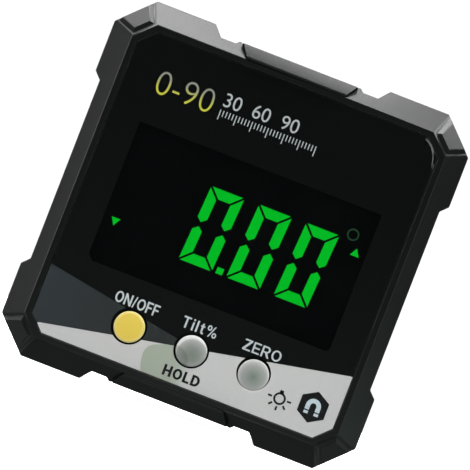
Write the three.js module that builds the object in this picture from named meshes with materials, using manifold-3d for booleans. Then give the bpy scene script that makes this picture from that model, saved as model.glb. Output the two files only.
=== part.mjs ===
// Digital inclinometer: a square pocket level with moulded corner bumpers, an upright display,
// three push buttons, magnetic plates in its base and top, and two cells behind a screwed door.
// Millimetres. +Z is up, the display faces -Y and +X is on the reader's right.
// Outlines are drawn in X and Z around the centre of the housing. Places in Y are counted from
// the crowns of the buttons backwards, and the last group moves the whole assembly so that its
// origin lies under the middle of the device, in the plane of its feet.

import * as THREE from 'three';
import { mergeVertices } from 'three/addons/utils/BufferGeometryUtils.js';
import Module from 'manifold-3d';

const wasm = await Module();
wasm.setup();

// Cutting aids
const overrun = 1;                // how far a cutting shape runs past what it cuts
const weldDistance = 1e-4;        // points nearer than this are one point

// Display and printed field around it
const displayWidth = 40.9;
const displayHeight = 23.2;
const sideField = 4.95;           // field at each side of the display
const upperField = 14.1;          // field above the display
const rimWidth = 1.1;             // flat front rim of the housing around the window

// Front and rear bevels and the cut corners of the housing
const bevelWidth = 3.5;           // seen from the front
const bevelDepth = 3.5;           // front to back
const cornerCut = 5.3;            // leg of the 45 degree cut across each corner
const cornerPadRim = 0.4;         // bevel left bare between a corner pad and the front rim
const cornerPadSideRim = 0.65;    // bevel left bare beside a corner pad
const cornerPadDraft = 0.75;      // width of the sloping sides of a corner pad
const cornerPadRaise = 0.95;      // how far a corner pad stands out of its bevel

// Reliefs between the corner bumpers
const sideRelief = 1.2;           // depth of the long relief in the left and right sides
const sideReliefLength = 30.2;
const sideReliefSlope = 1.2;      // length of the slope at each end of it
const endRelief = 1.75;           // depth of the short reliefs in the base and top
const endReliefLength = 2.5;
const endReliefSlope = 1.5;       // length of the slope on the bumper side
const bossSlope = 0.5;            // length of the slope on the plate side
const bossRim = 0.6;              // housing left standing at each end of a magnetic plate

// Magnetic plates in the base and the top
const plateRecess = 1.25;         // how far their faces lie below the bumper faces
const plateWidth = 19.4;
const plateThickness = 2.25;
const plateTaper = 1.5;           // each end is narrower by this at the inner side
const plateGap = 0.15;
const plateNose = 1.7;            // height of the bevel at the front and rear edges
const plateNoseDepth = 1.0;
const plateSkin = 0.85;           // plate left over the magnets
const plateFloor = 1.5;           // housing behind a plate
const magnetCount = 3;
const magnetRim = 1.2;            // plate left at the ends of a magnet
const magnetWeb = 1.9;            // plate left between two magnets
const magnetClearance = 0.05;

// Window stack, from the buttons' crowns backwards
const capStand = 0.1;             // the crowns stand this far out of the rim
const windowRecess = 0.2;
const windowThickness = 0.7;
const windowClearance = 0.15;
const windowCornerCut = 2.5;
const windowEdge = 0.25;          // polished chamfer along the window's front edge
const printRelief = 0.05;         // room for the inks between the window and the film
const filmThickness = 0.15;
const tapeThickness = 0.2;
const tapeWidth = 1.5;
const tapeMargin = 0.3;           // tape kept back from the edge of the window
const frontWall = 1.5;

// Display module
const glassThickness = 2.2;
const glassAirGap = 0.5;          // between the printed film and the glass
const glassSideMargin = 1.55;     // glass beyond the visible display
const glassUpperMargin = 2.1;
const glassLowerMargin = 2.1;
const glassClearance = 0.3;
const guideThickness = 3.0;
const frameWall = 1.0;
const frameLedge = 1.5;           // ledge that carries the light guide
const frameFrontGap = 0.3;
const connectorWidth = 1.8;
const connectorMargin = 0.35;     // from the lower edge of the glass to the connector
const connectorInset = 1.2;       // connector shorter than the display at each end
const ledWidth = 3.0;
const ledHeight = 1.6;
const ledThickness = 1.0;

// Buttons and their switches
const buttonCount = 3;
const buttonPitch = 10.5;
const buttonShift = 0.2;          // the row lies this far to the right of the middle
const buttonRowRise = 5.85;       // row above the lower edge of the window
const capDiameter = 5.0;
const capClearance = 0.2;
const capCrown = 0.45;            // height of the rounded edge of the crown
const capCrownInset = 0.7;        // flat-looking middle starts this far inside the edge
const capPlay = 0.05;             // between a cap's flange and the wall it rests against
const flangeReach = 0.6;          // flange beyond the cap
const flangeThickness = 0.8;
const stemRadius = 1.5;
const stemLength = 0.25;
const capTravel = 0.5;
const plungerRadius = 1.7;
const plungerStand = 0.9;
const plungerDepth = 1.5;         // plunger inside the switch at rest
const plungerClearance = 0.15;
const switchWidth = 6.0;
const switchHeight = 3.5;
const switchGap = 1.25;           // between the display frame and the switches
const switchLidInset = 0.35;      // metal lid smaller than the base by this
const switchBaseHeight = 2.4;

// Circuit board and what it carries
const boardThickness = 1.6;
const boardClearance = 0.6;
const boardScrewLength = 5.0;
const boardScrewRadius = 0.9;
const boardScrewHeadRadius = 1.6;
const boardScrewHeadHeight = 1.2;
const postRadius = 2.0;
const postGap = 1.8;              // between a post and the switch or frame beside it
const chipWidth = 8.0;
const chipThickness = 1.4;
const chipLeadReach = 1.0;
const chipLeadWidth = 0.4;
const chipLeadThickness = 0.3;
const chipLeads = 6;              // on each side
const chipRise = 7.5;             // above the middle of the board
const sensorWidth = 4.0;
const sensorHeight = 4.4;
const sensorThickness = 1.1;
const sensorDrop = 6.0;           // below the middle of the board
const crystalLength = 10.2;
const crystalWidth = 3.8;
const crystalThickness = 2.6;
const crystalOffset = 11.5;       // beside the chip
const componentSpace = 5.6;       // between the board and the battery tray

// Cells, contacts and the battery tray
const cellDiameter = 10.5;
const cellLength = 44.5;
const cellNubRadius = 1.9;
const cellNubLength = 0.8;
const cellEdge = 0.4;             // rounding of the can's ends
const cellEndRecess = 0.3;
const cellGap = 0.6;
const cellPlay = 0.2;
const cellHeadroom = 0.5;
const contactSpace = 1.35;
const contactThickness = 0.3;
const contactTouch = 0.1;         // left between a contact and its cell
const contactHalfWidth = 4.2;
const contactHeight = 8.5;
const contactBumpRadius = 1.6;
const contactLeafHalf = 3.2;      // half the height of the springy leaf
const tailWidth = 2.0;
const tailClearance = 0.2;
const trayFloor = 1.2;
const trayWall = 1.2;
const ridgeHalfWidth = 1.5;
const ridgeHeight = 2.0;
const ridgeTip = 0.2;             // half the width of the ridge's top

// Battery door
const doorThickness = 2.0;
const doorClearance = 0.2;
const doorCornerCut = 2.0;
const doorLedge = 1.8;            // ledge beside the bay
const doorEdge = 2.6;             // from a screw to the edge of the door
const doorSealThickness = 0.6;
const doorSealWidth = 0.9;
const doorSealInset = 0.45;       // from the bay to its groove
const doorSealPlay = 0.1;
const doorScrewLength = 6.0;
const doorScrewRadius = 1.0;
const doorScrewHeadRadius = 1.9;
const doorScrewHeadHeight = 1.2;
const doorScrewSink = 0.1;        // heads lie this far below the door's face
const doorBossRadius = 2.5;
const doorBossMerge = 0.1;        // the boss runs this far into the tray's wall

// Housing shells, seal and screws
const sideWall = 2.2;
const backWall = 3.0;
const cavityCornerCut = 4.2;
const partingBehindBoard = 5.0;
const sealWidth = 0.8;
const sealThickness = 0.8;
const sealPlay = 0.05;
const bossInset = 8.0;            // screw axes from the outer faces
const bossRadius = 2.7;
const screwWeb = 1.2;             // wall between a screw head and the battery door
const housingScrewLength = 14.0;
const housingScrewRadius = 1.0;
const housingScrewHeadRadius = 2.0;
const housingScrewHeadHeight = 1.6;
const housingScrewSink = 5.0;     // from the back face to the seats of the heads
const headClearance = 0.2;
const screwClearance = 0.1;
const tipClearance = 0.5;
const crossWidth = 0.5;           // cross recess of the screws
const crossDepth = 0.7;
const screwPoint = 0.5;

// Facets of the round pieces
const capSides = 36;
const screwSides = 16;
const holeSides = 20;
const cellSides = 24;
const crownSteps = 4;

// Shares of the size that they follow
const slantShare = Math.tan(Math.PI / 8);
const headDomeShare = 0.6;
const crossReachShare = 0.62;
const ledPlaceShare = 0.55;
const diagonalShare = Math.SQRT1_2;

// Places along Y, from the crowns backwards
const rimFace = capStand;
const windowFace = rimFace + windowRecess;
const windowBack = windowFace + windowThickness;
const filmFront = windowBack + printRelief;
const filmBack = filmFront + filmThickness;
const wallFront = filmBack + tapeThickness;
const wallBack = wallFront + frontWall;
const glassFront = filmBack + glassAirGap;
const glassBack = glassFront + glassThickness;
const guideBack = glassBack + guideThickness;
const flangeFront = wallBack + capPlay;
const flangeBack = flangeFront + flangeThickness;
const plungerFront = flangeBack + stemLength;
const switchFront = plungerFront + plungerStand;
const boardFront = switchFront + switchHeight;
const boardBack = boardFront + boardThickness;
const partingPlane = boardBack + partingBehindBoard;
const trayFront = boardBack + componentSpace;
const bayFloor = trayFront + trayFloor;
const cellAxisY = bayFloor + cellPlay + cellDiameter / 2;
const doorSeat = bayFloor + cellPlay + cellDiameter + cellHeadroom;
const backFace = doorSeat + doorThickness;
const cavityBack = backFace - backWall;
const housingScrewSeat = backFace - housingScrewSink;
const doorScrewSeat = backFace - doorScrewSink - doorScrewHeadHeight;

// Battery bay and door, seen from the back
const cellRadius = cellDiameter / 2;
const cellAxisZ = cellRadius + cellGap / 2;
const bayHalfLength = cellLength / 2 + contactSpace;
const bayHalfHeight = cellDiameter + cellGap / 2 + cellPlay;
const mouthHalfLength = cellLength / 2 + cellPlay;
const doorScrewZ = bayHalfHeight + trayWall + doorBossRadius - doorBossMerge;
const doorHalfWidth = mouthHalfLength + doorLedge;
const doorHalfHeight = doorScrewZ + doorEdge;

// Row of buttons, with a post for the board at each end of it
const buttonXs = Array.from({ length: buttonCount },
  (_, i) => buttonShift + (i - (buttonCount - 1) / 2) * buttonPitch);
const postX = Math.abs(buttonXs[buttonCount - 1]) + switchWidth / 2 + postGap + postRadius;

// The housing is as large as its front, its back or the row of buttons between its bosses needs
const displayMargin = glassLowerMargin + glassClearance + frameWall + switchGap + switchWidth / 2;
const border = rimWidth + bevelWidth;
const frontHalfWidth = displayWidth / 2 + sideField + border;
const backHalfWidth = bayHalfLength + trayWall + sideWall + sideRelief;
const rowHalfWidth = postX + boardScrewHeadRadius + bossRadius + bossInset;
const halfWidth = Math.max(frontHalfWidth, backHalfWidth, rowHalfWidth);
const fieldHeight = buttonRowRise + displayMargin + displayHeight + upperField;
const headBoreRadius = housingScrewHeadRadius + headClearance;
const backHalfHeight = doorHalfHeight + doorClearance + screwWeb + headBoreRadius + bossInset;
const halfHeight = Math.max(fieldHeight / 2 + border, backHalfHeight);

// Places in X and Z
const windowHalfWidth = halfWidth - border;
const windowHalfHeight = halfHeight - border;
const buttonRowZ = buttonRowRise - windowHalfHeight;
const displayLow = buttonRowZ + displayMargin;
const displayHigh = displayLow + displayHeight;
const glassHalfWidth = displayWidth / 2 + glassSideMargin;
const glassLow = displayLow - glassLowerMargin;
const glassHigh = displayHigh + glassUpperMargin;
const frameHalfWidth = glassHalfWidth + glassClearance + frameWall;
const frameLow = glassLow - glassClearance - frameWall;
const frameHigh = glassHigh + glassClearance + frameWall;
const connectorLow = glassLow + connectorMargin;
const connectorHigh = connectorLow + connectorWidth;
const guideLow = connectorHigh + glassClearance;
const plateHalfWidth = plateWidth / 2;
const plateInner = plateRecess + plateThickness;
const cavityHalfWidth = halfWidth - sideRelief - sideWall;
const cavityHalfHeight = halfHeight - plateInner - plateFloor;
const bossX = halfWidth - bossInset;
const bossZ = halfHeight - bossInset;
const postHighZ = frameHigh + postGap + postRadius;
const boardHalfWidth = cavityHalfWidth - boardClearance;
const boardHalfHeight = cavityHalfHeight - boardClearance;
const boardCut = boardHalfWidth + boardHalfHeight - bossX - bossZ
  + (bossRadius + boardClearance) * Math.SQRT2;

// Solids from closed geometries

function isDoubled(a, b, c) {
  return a === b || b === c || c === a;
}

function signedVolume(points, triangles) {
  const corner = [new THREE.Vector3(), new THREE.Vector3(), new THREE.Vector3()];
  let sum = 0;
  for (let i = 0; i < triangles.length; i += 3) {
    for (let k = 0; k < 3; k += 1) {
      corner[k].fromArray(points, 3 * triangles[i + k]);
    }
    sum += corner[0].dot(corner[1].cross(corner[2]));
  }
  return sum;
}

function toSolid(geometry) {
  const bare = geometry.clone();
  bare.deleteAttribute('normal');
  bare.deleteAttribute('uv');
  const welded = mergeVertices(bare, weldDistance);
  const points = Float32Array.from(welded.attributes.position.array);
  const index = welded.index.array;
  const kept = [];
  for (let i = 0; i < index.length; i += 3) {
    if (!isDoubled(index[i], index[i + 1], index[i + 2])) {
      kept.push(index[i], index[i + 1], index[i + 2]);
    }
  }
  const triangles = Uint32Array.from(kept);
  if (signedVolume(points, triangles) < 0) {
    triangles.reverse();
  }
  return new wasm.Manifold(new wasm.Mesh({ numProp: 3, vertProperties: points, triVerts: triangles }));
}

function toGeometry(solid) {
  const { vertProperties, triVerts } = solid.getMesh();
  const geometry = new THREE.BufferGeometry();
  geometry.setAttribute('position', new THREE.BufferAttribute(vertProperties, 3));
  geometry.setIndex(new THREE.BufferAttribute(triVerts, 1));
  return geometry;
}

// Outlines in X and Z, counter-clockwise as the reader sees them

function rectangle(left, right, low, high) {
  return [[left, low], [right, low], [right, high], [left, high]];
}

function cutRectangle(half, low, high, cut) {
  return [
    [half, low + cut], [half, high - cut], [half - cut, high], [cut - half, high],
    [-half, high - cut], [-half, low + cut], [cut - half, low], [half - cut, low],
  ];
}

// The leg of a cut corner changes by this share of an offset, so that all sides move alike
const cutShare = 2 - Math.SQRT2;

function offsetCutRectangle(half, halfTall, cut, offset) {
  const tall = halfTall + offset;
  return cutRectangle(half + offset, -tall, tall, cut + offset * cutShare);
}

function mirrored(quarter) {
  const left = quarter.map(([x, z]) => [-x, z]).reverse();
  const upper = [...quarter, ...left];
  const lower = upper.map(([x, z]) => [-x, -z]);
  return [...upper, ...lower];
}

function silhouetteOutline() {
  const bossHalf = plateHalfWidth + bossRim;
  const reliefStart = bossHalf + bossSlope;
  const reliefEnd = reliefStart + endReliefLength;
  return mirrored([
    [halfWidth - sideRelief, sideReliefLength / 2],
    [halfWidth, sideReliefLength / 2 + sideReliefSlope],
    [halfWidth, halfHeight - cornerCut],
    [halfWidth - cornerCut, halfHeight],
    [reliefEnd + endReliefSlope, halfHeight],
    [reliefEnd, halfHeight - endRelief],
    [reliefStart, halfHeight - endRelief],
    [bossHalf, halfHeight - plateRecess],
  ]);
}

// Straight solids

function unitExtrusion(outline, place) {
  const shape = new THREE.Shape(outline.map(([a, b]) => new THREE.Vector2(a, b)));
  const geometry = new THREE.ExtrudeGeometry(shape, { depth: 1, steps: 1, bevelEnabled: false });
  const points = geometry.attributes.position;
  for (let i = 0; i < points.count; i += 1) {
    points.setXYZ(i, ...place(points.getX(i), points.getY(i), points.getZ(i) > 0));
  }
  return toSolid(geometry);
}

// An outline in X and Z, drawn out from front to back
function prism(outline, front, back) {
  return unitExtrusion(outline, (x, z, far) => [x, far ? back : front, z]);
}

// An outline in Y and Z, drawn out from left to right
function crossPrism(outline, left, right) {
  return unitExtrusion(outline, (y, z, far) => [far ? right : left, y, z]);
}

// An outline in X and Y, drawn out from low to high
function uprightPrism(outline, low, high) {
  return unitExtrusion(outline, (x, y, far) => [x, y, far ? high : low]);
}

function block(left, right, front, back, low, high) {
  return prism(rectangle(left, right, low, high), front, back);
}

function rod(radius, front, back, x, z, sides) {
  const geometry = new THREE.CylinderGeometry(radius, radius, back - front, sides);
  geometry.translate(x, (front + back) / 2, z);
  return toSolid(geometry);
}

// A solid through rings of points that all have the same count
function loft(rings) {
  const count = rings[0].length;
  const last = (rings.length - 1) * count;
  const index = [];
  for (let ring = 0; ring < last; ring += count) {
    for (let i = 0; i < count; i += 1) {
      const next = (i + 1) % count;
      index.push(ring + i, ring + count + next, ring + next);
      index.push(ring + i, ring + count + i, ring + count + next);
    }
  }
  for (let i = 1; i < count - 1; i += 1) {
    index.push(0, i, i + 1);
    index.push(last, last + i + 1, last + i);
  }
  const geometry = new THREE.BufferGeometry();
  geometry.setAttribute('position', new THREE.Float32BufferAttribute(rings.flat(2), 3));
  geometry.setIndex(index);
  return toSolid(geometry);
}

function ringAt(outline, y) {
  return outline.map(([x, z]) => [x, y, z]);
}

// A turned solid on an axis along Y, from points of radius and place
function turned(profile, x, z, sides) {
  const points = profile.map(([radius, y]) => new THREE.Vector2(radius, y));
  const geometry = new THREE.LatheGeometry(points, sides);
  geometry.translate(x, 0, z);
  return toSolid(geometry);
}

// Housing

// Front view distances on a cut corner: along is measured along the cut, out is measured
// outwards from the cut edge, so it is negative on the bevel.
function cornerPoint(sideX, sideZ, along, out, y) {
  const middleX = halfWidth - cornerCut / 2;
  const middleZ = halfHeight - cornerCut / 2;
  const x = sideX * (middleX + (out - along) * diagonalShare);
  const z = sideZ * (middleZ + (out + along) * diagonalShare);
  return [x, y, z];
}

function cornerPad(sideX, sideZ, face, inward) {
  const innerBase = cornerPadRim - bevelWidth;
  const innerTop = innerBase + cornerPadDraft;
  const edgeHalf = cornerCut * diagonalShare;
  const baseHalf = (out) => edgeHalf + out * slantShare - cornerPadSideRim;
  const planeY = (out) => face + inward * bevelDepth * (1 + out / bevelWidth);
  const ring = (inner, narrower, rise) => [
    [-1, inner], [1, inner], [1, overrun], [-1, overrun],
  ].map(([side, out]) => cornerPoint(
    sideX, sideZ, side * (baseHalf(out) - narrower), out, planeY(out) - inward * rise,
  ));
  return loft([
    ring(innerBase, 0, -overrun),
    ring(innerBase, 0, 0),
    ring(innerTop, cornerPadDraft, cornerPadRaise),
  ]);
}

function bevelledEnvelope() {
  const ring = (inset, y) => ringAt(offsetCutRectangle(halfWidth, halfHeight, cornerCut, -inset), y);
  let envelope = loft([
    ring(bevelWidth, rimFace),
    ring(0, rimFace + bevelDepth),
    ring(0, backFace - bevelDepth),
    ring(bevelWidth, backFace),
  ]);
  for (const sideX of [-1, 1]) {
    for (const sideZ of [-1, 1]) {
      envelope = envelope.add(cornerPad(sideX, sideZ, rimFace, 1));
      envelope = envelope.add(cornerPad(sideX, sideZ, backFace, -1));
    }
  }
  return envelope;
}

function plateHalfAt(inset) {
  return plateHalfWidth - plateTaper * (inset - plateRecess) / plateThickness;
}

function platePocket(side) {
  const innerHalf = plateHalfAt(plateInner) + plateGap;
  const outerHalf = plateHalfAt(-overrun) + plateGap;
  const inner = side * (halfHeight - plateInner);
  const outer = side * (halfHeight + overrun);
  const outline = [[-innerHalf, inner], [innerHalf, inner], [outerHalf, outer], [-outerHalf, outer]];
  return prism(outline, rimFace - overrun, backFace + overrun);
}

function wholeBody() {
  return prism(silhouetteOutline(), rimFace, backFace)
    .intersect(bevelledEnvelope())
    .subtract(platePocket(1))
    .subtract(platePocket(-1));
}

function cavity(front, back) {
  return prism(offsetCutRectangle(cavityHalfWidth, cavityHalfHeight, cavityCornerCut, 0), front, back);
}

function screwPlaces() {
  return [[-bossX, -bossZ], [bossX, -bossZ], [bossX, bossZ], [-bossX, bossZ]];
}

function postPlaces() {
  return [[-postX, buttonRowZ], [postX, buttonRowZ], [postX, postHighZ], [-postX, postHighZ]];
}

function frontHousing(body) {
  const width = halfWidth + overrun;
  const height = halfHeight + overrun;
  let shell = body.intersect(block(-width, width, rimFace - overrun, partingPlane, -height, height));
  const recess = offsetCutRectangle(windowHalfWidth, windowHalfHeight, windowCornerCut, windowClearance);
  shell = shell.subtract(prism(recess, rimFace - overrun, wallFront));
  shell = shell.subtract(cavity(wallBack, partingPlane + overrun));
  for (const [x, z] of screwPlaces()) {
    shell = shell.add(rod(bossRadius, wallBack, partingPlane, x, z, holeSides));
  }
  for (const [x, z] of postPlaces()) {
    shell = shell.add(rod(postRadius, wallBack, boardFront, x, z, holeSides));
  }
  const opening = rectangle(
    -glassHalfWidth - glassClearance, glassHalfWidth + glassClearance,
    glassLow - glassClearance, glassHigh + glassClearance,
  );
  shell = shell.subtract(prism(opening, wallFront - overrun, wallBack + overrun));
  for (const x of buttonXs) {
    const radius = capDiameter / 2 + capClearance;
    shell = shell.subtract(rod(radius, wallFront - overrun, wallBack + overrun, x, buttonRowZ, capSides));
  }
  const housingTip = housingScrewSeat - housingScrewLength - tipClearance;
  for (const [x, z] of screwPlaces()) {
    const radius = housingScrewRadius + screwClearance;
    shell = shell.subtract(rod(radius, housingTip, partingPlane + overrun, x, z, holeSides));
  }
  const boardTip = boardBack - boardScrewLength - tipClearance;
  for (const [x, z] of postPlaces()) {
    const radius = boardScrewRadius + screwClearance;
    shell = shell.subtract(rod(radius, boardTip, boardFront + overrun, x, z, holeSides));
  }
  const rebate = offsetCutRectangle(
    cavityHalfWidth, cavityHalfHeight, cavityCornerCut, sealWidth + 2 * sealPlay,
  );
  const rebateCut = prism(rebate, partingPlane - sealThickness, partingPlane + overrun)
    .subtract(cavity(wallBack, partingPlane + 2 * overrun));
  return shell.subtract(rebateCut);
}

function housingSeal() {
  const ring = (offset, front, back) => prism(
    offsetCutRectangle(cavityHalfWidth, cavityHalfHeight, cavityCornerCut, offset), front, back,
  );
  return ring(sealPlay + sealWidth, partingPlane - sealThickness, partingPlane)
    .subtract(ring(sealPlay, partingPlane - sealThickness - overrun, partingPlane + overrun));
}

function tray() {
  const half = bayHalfLength + trayWall;
  const tall = bayHalfHeight + trayWall;
  const box = block(-half, half, trayFront, cavityBack + overrun, -tall, tall);
  const bay = block(-bayHalfLength, bayHalfLength, bayFloor, cavityBack, -bayHalfHeight, bayHalfHeight);
  const ridge = crossPrism([
    [bayFloor - trayFloor / 2, -ridgeHalfWidth], [bayFloor, -ridgeHalfWidth],
    [bayFloor + ridgeHeight, -ridgeTip], [bayFloor + ridgeHeight, ridgeTip],
    [bayFloor, ridgeHalfWidth], [bayFloor - trayFloor / 2, ridgeHalfWidth],
  ], -mouthHalfLength, mouthHalfLength);
  return { box, bay, ridge };
}

function tailSlot(side, z) {
  const inner = bayHalfLength - contactThickness - tailClearance;
  const half = tailWidth / 2 + tailClearance;
  const [left, right] = side < 0 ? [-bayHalfLength, -inner] : [inner, bayHalfLength];
  return block(left, right, trayFront - overrun, bayFloor + overrun, z - half, z + half);
}

function doorSealGroove() {
  const outer = doorSealInset + doorSealWidth + 2 * doorSealPlay;
  return prism(rectangle(
    -mouthHalfLength - outer, mouthHalfLength + outer, -bayHalfHeight - outer, bayHalfHeight + outer,
  ), doorSeat - doorSealThickness, doorSeat + overrun).subtract(prism(rectangle(
    -mouthHalfLength - doorSealInset, mouthHalfLength + doorSealInset,
    -bayHalfHeight - doorSealInset, bayHalfHeight + doorSealInset,
  ), doorSeat - doorSealThickness - overrun, doorSeat + 2 * overrun));
}

function rearHousing(body) {
  const width = halfWidth + overrun;
  const height = halfHeight + overrun;
  const { box, bay, ridge } = tray();
  let shell = body.intersect(block(-width, width, partingPlane, backFace + overrun, -height, height));
  shell = shell.subtract(cavity(partingPlane - overrun, cavityBack));
  shell = shell.add(box);
  for (const [x, z] of screwPlaces()) {
    shell = shell.add(rod(bossRadius, partingPlane, cavityBack + overrun, x, z, holeSides));
  }
  const doorTip = doorScrewSeat - doorScrewLength - tipClearance;
  for (const z of [-doorScrewZ, doorScrewZ]) {
    shell = shell.add(rod(doorBossRadius, doorTip - doorBossRadius / 2, cavityBack + overrun, 0, z, holeSides));
  }
  shell = shell.subtract(bay).add(ridge);
  const mouth = rectangle(-mouthHalfLength, mouthHalfLength, -bayHalfHeight, bayHalfHeight);
  shell = shell.subtract(prism(mouth, cavityBack - overrun, backFace + overrun));
  const recess = offsetCutRectangle(doorHalfWidth, doorHalfHeight, doorCornerCut, doorClearance);
  shell = shell.subtract(prism(recess, doorSeat, backFace + overrun));
  shell = shell.subtract(doorSealGroove());
  for (const z of [-cellAxisZ, cellAxisZ]) {
    shell = shell.subtract(tailSlot(-1, z));
  }
  for (const [x, z] of screwPlaces()) {
    const hole = housingScrewRadius + screwClearance;
    shell = shell.subtract(rod(hole, partingPlane - overrun, backFace + overrun, x, z, holeSides));
    shell = shell.subtract(rod(headBoreRadius, housingScrewSeat, backFace + overrun, x, z, holeSides));
  }
  for (const z of [-doorScrewZ, doorScrewZ]) {
    const hole = doorScrewRadius + screwClearance;
    shell = shell.subtract(rod(hole, doorTip, doorSeat + overrun, 0, z, holeSides));
  }
  return shell;
}

// Magnetic plates

function magnetHalfLength() {
  return plateHalfAt(plateInner) - magnetRim;
}

function magnetSpans() {
  const pitch = (backFace - rimFace) / (magnetCount + 1);
  const half = (pitch - magnetWeb) / 2;
  return Array.from({ length: magnetCount }, (_, i) => {
    const middle = rimFace + (i + 1) * pitch;
    return [middle - half, middle + half];
  });
}

function magneticPlate(side) {
  const outerHalf = plateHalfAt(plateRecess);
  const innerHalf = plateHalfAt(plateInner);
  const outer = side * (halfHeight - plateRecess);
  const inner = side * (halfHeight - plateInner);
  const nose = side * (halfHeight - plateRecess - plateNose);
  const wedge = prism(
    [[-innerHalf, inner], [innerHalf, inner], [outerHalf, outer], [-outerHalf, outer]], rimFace, backFace,
  );
  const section = crossPrism([
    [rimFace, inner], [rimFace, nose], [rimFace + plateNoseDepth, outer],
    [backFace - plateNoseDepth, outer], [backFace, nose], [backFace, inner],
  ], -outerHalf - overrun, outerHalf + overrun);
  let plate = wedge.intersect(section);
  const pocketEnd = side * (halfHeight - plateRecess - plateSkin);
  const pocketHalf = magnetHalfLength() + magnetClearance;
  for (const [front, back] of magnetSpans()) {
    const zs = [inner - side * overrun, pocketEnd].sort((a, b) => a - b);
    plate = plate.subtract(block(
      -pocketHalf, pocketHalf, front - magnetClearance, back + magnetClearance, ...zs,
    ));
  }
  return plate;
}

function magnet(side, front, back) {
  const inner = side * (halfHeight - plateInner);
  const outer = side * (halfHeight - plateRecess - plateSkin - magnetClearance);
  const half = magnetHalfLength();
  return block(-half, half, front, back, ...[inner, outer].sort((a, b) => a - b));
}

// Window, film and tape

function buttonHoles(front, back) {
  const radius = capDiameter / 2 + capClearance;
  return buttonXs.map((x) => rod(radius, front, back, x, buttonRowZ, capSides));
}

function windowOutline(offset) {
  return offsetCutRectangle(windowHalfWidth, windowHalfHeight, windowCornerCut, offset);
}

function frontWindow() {
  let sheet = loft([
    ringAt(windowOutline(-windowEdge), windowFace),
    ringAt(windowOutline(0), windowFace + windowEdge),
    ringAt(windowOutline(0), windowBack),
  ]);
  for (const hole of buttonHoles(windowFace - overrun, windowBack + overrun)) {
    sheet = sheet.subtract(hole);
  }
  return sheet;
}

function graphicFilm() {
  let film = prism(windowOutline(0), filmFront, filmBack);
  const view = rectangle(-displayWidth / 2, displayWidth / 2, displayLow, displayHigh);
  film = film.subtract(prism(view, filmFront - overrun, filmBack + overrun));
  for (const hole of buttonHoles(filmFront - overrun, filmBack + overrun)) {
    film = film.subtract(hole);
  }
  return film;
}

function windowTape() {
  return prism(windowOutline(-tapeMargin), filmBack, wallFront)
    .subtract(prism(windowOutline(-tapeMargin - tapeWidth), filmBack - overrun, wallFront + overrun));
}

// Display module

function lcdFrame() {
  const outer = rectangle(-frameHalfWidth, frameHalfWidth, frameLow, frameHigh);
  const seat = rectangle(
    -glassHalfWidth - glassClearance, glassHalfWidth + glassClearance,
    glassLow - glassClearance, glassHigh + glassClearance,
  );
  const through = rectangle(
    frameLedge - glassHalfWidth, glassHalfWidth - frameLedge, glassLow, glassHigh - frameLedge,
  );
  return prism(outer, wallBack + frameFrontGap, boardFront)
    .subtract(prism(seat, wallBack - overrun, guideBack))
    .subtract(prism(through, guideBack - overrun, boardFront + overrun));
}

function lcdGlass() {
  return block(-glassHalfWidth, glassHalfWidth, glassFront, glassBack, glassLow, glassHigh);
}

function lightGuide() {
  return block(-glassHalfWidth, glassHalfWidth, glassBack, guideBack, guideLow, glassHigh);
}

function lcdConnector() {
  const half = displayWidth / 2 - connectorInset;
  return block(-half, half, glassBack, boardFront, connectorLow, connectorHigh);
}

function backlightLed(side) {
  const x = side * glassHalfWidth * ledPlaceShare;
  const z = (guideLow + glassHigh) / 2;
  return block(
    x - ledWidth / 2, x + ledWidth / 2, boardFront - ledThickness, boardFront,
    z - ledHeight / 2, z + ledHeight / 2,
  );
}

// Circuit board

function circuitBoard() {
  let board = prism(
    cutRectangle(boardHalfWidth, -boardHalfHeight, boardHalfHeight, boardCut), boardFront, boardBack,
  );
  for (const [x, z] of postPlaces()) {
    const radius = boardScrewRadius + screwClearance;
    board = board.subtract(rod(radius, boardFront - overrun, boardBack + overrun, x, z, holeSides));
  }
  return board;
}

function controllerChip() {
  const half = chipWidth / 2;
  const reach = half + chipLeadReach;
  let chip = block(-half, half, boardBack, boardBack + chipThickness, chipRise - half, chipRise + half);
  const pitch = chipWidth / (chipLeads + 1);
  for (let i = 1; i <= chipLeads; i += 1) {
    const place = i * pitch - half;
    const low = place - chipLeadWidth / 2;
    const high = place + chipLeadWidth / 2;
    const back = boardBack + chipLeadThickness;
    chip = chip.add(block(-reach, reach, boardBack, back, chipRise + low, chipRise + high));
    chip = chip.add(block(low, high, boardBack, back, chipRise - reach, chipRise + reach));
  }
  return chip;
}

function tiltSensor() {
  const half = sensorWidth / 2;
  return block(
    -half, half, boardBack, boardBack + sensorThickness,
    -sensorDrop - sensorHeight / 2, sensorHeight / 2 - sensorDrop,
  );
}

function crystal() {
  const round = crystalWidth / 2;
  const straight = crystalLength / 2 - round;
  const arc = (centre, start) => Array.from({ length: crownSteps + 1 }, (_, i) => {
    const angle = start + Math.PI * i / crownSteps;
    return [crystalOffset + round * Math.cos(angle), chipRise + centre + round * Math.sin(angle)];
  });
  return prism([...arc(straight, 0), ...arc(-straight, Math.PI)], boardBack, boardBack + crystalThickness);
}

// Buttons and switches

function switchBody(x) {
  const base = switchWidth / 2;
  const lid = base - switchLidInset;
  const low = boardFront - switchBaseHeight;
  const bore = plungerRadius + plungerClearance;
  const boreBack = switchFront + plungerDepth + capTravel + plungerClearance;
  return block(x - base, x + base, low, boardFront, buttonRowZ - base, buttonRowZ + base)
    .add(block(x - lid, x + lid, switchFront, boardFront, buttonRowZ - lid, buttonRowZ + lid))
    .subtract(rod(bore, switchFront - overrun, boreBack, x, buttonRowZ, holeSides));
}

function plunger(x) {
  return rod(plungerRadius, plungerFront, switchFront + plungerDepth, x, buttonRowZ, holeSides);
}

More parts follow.
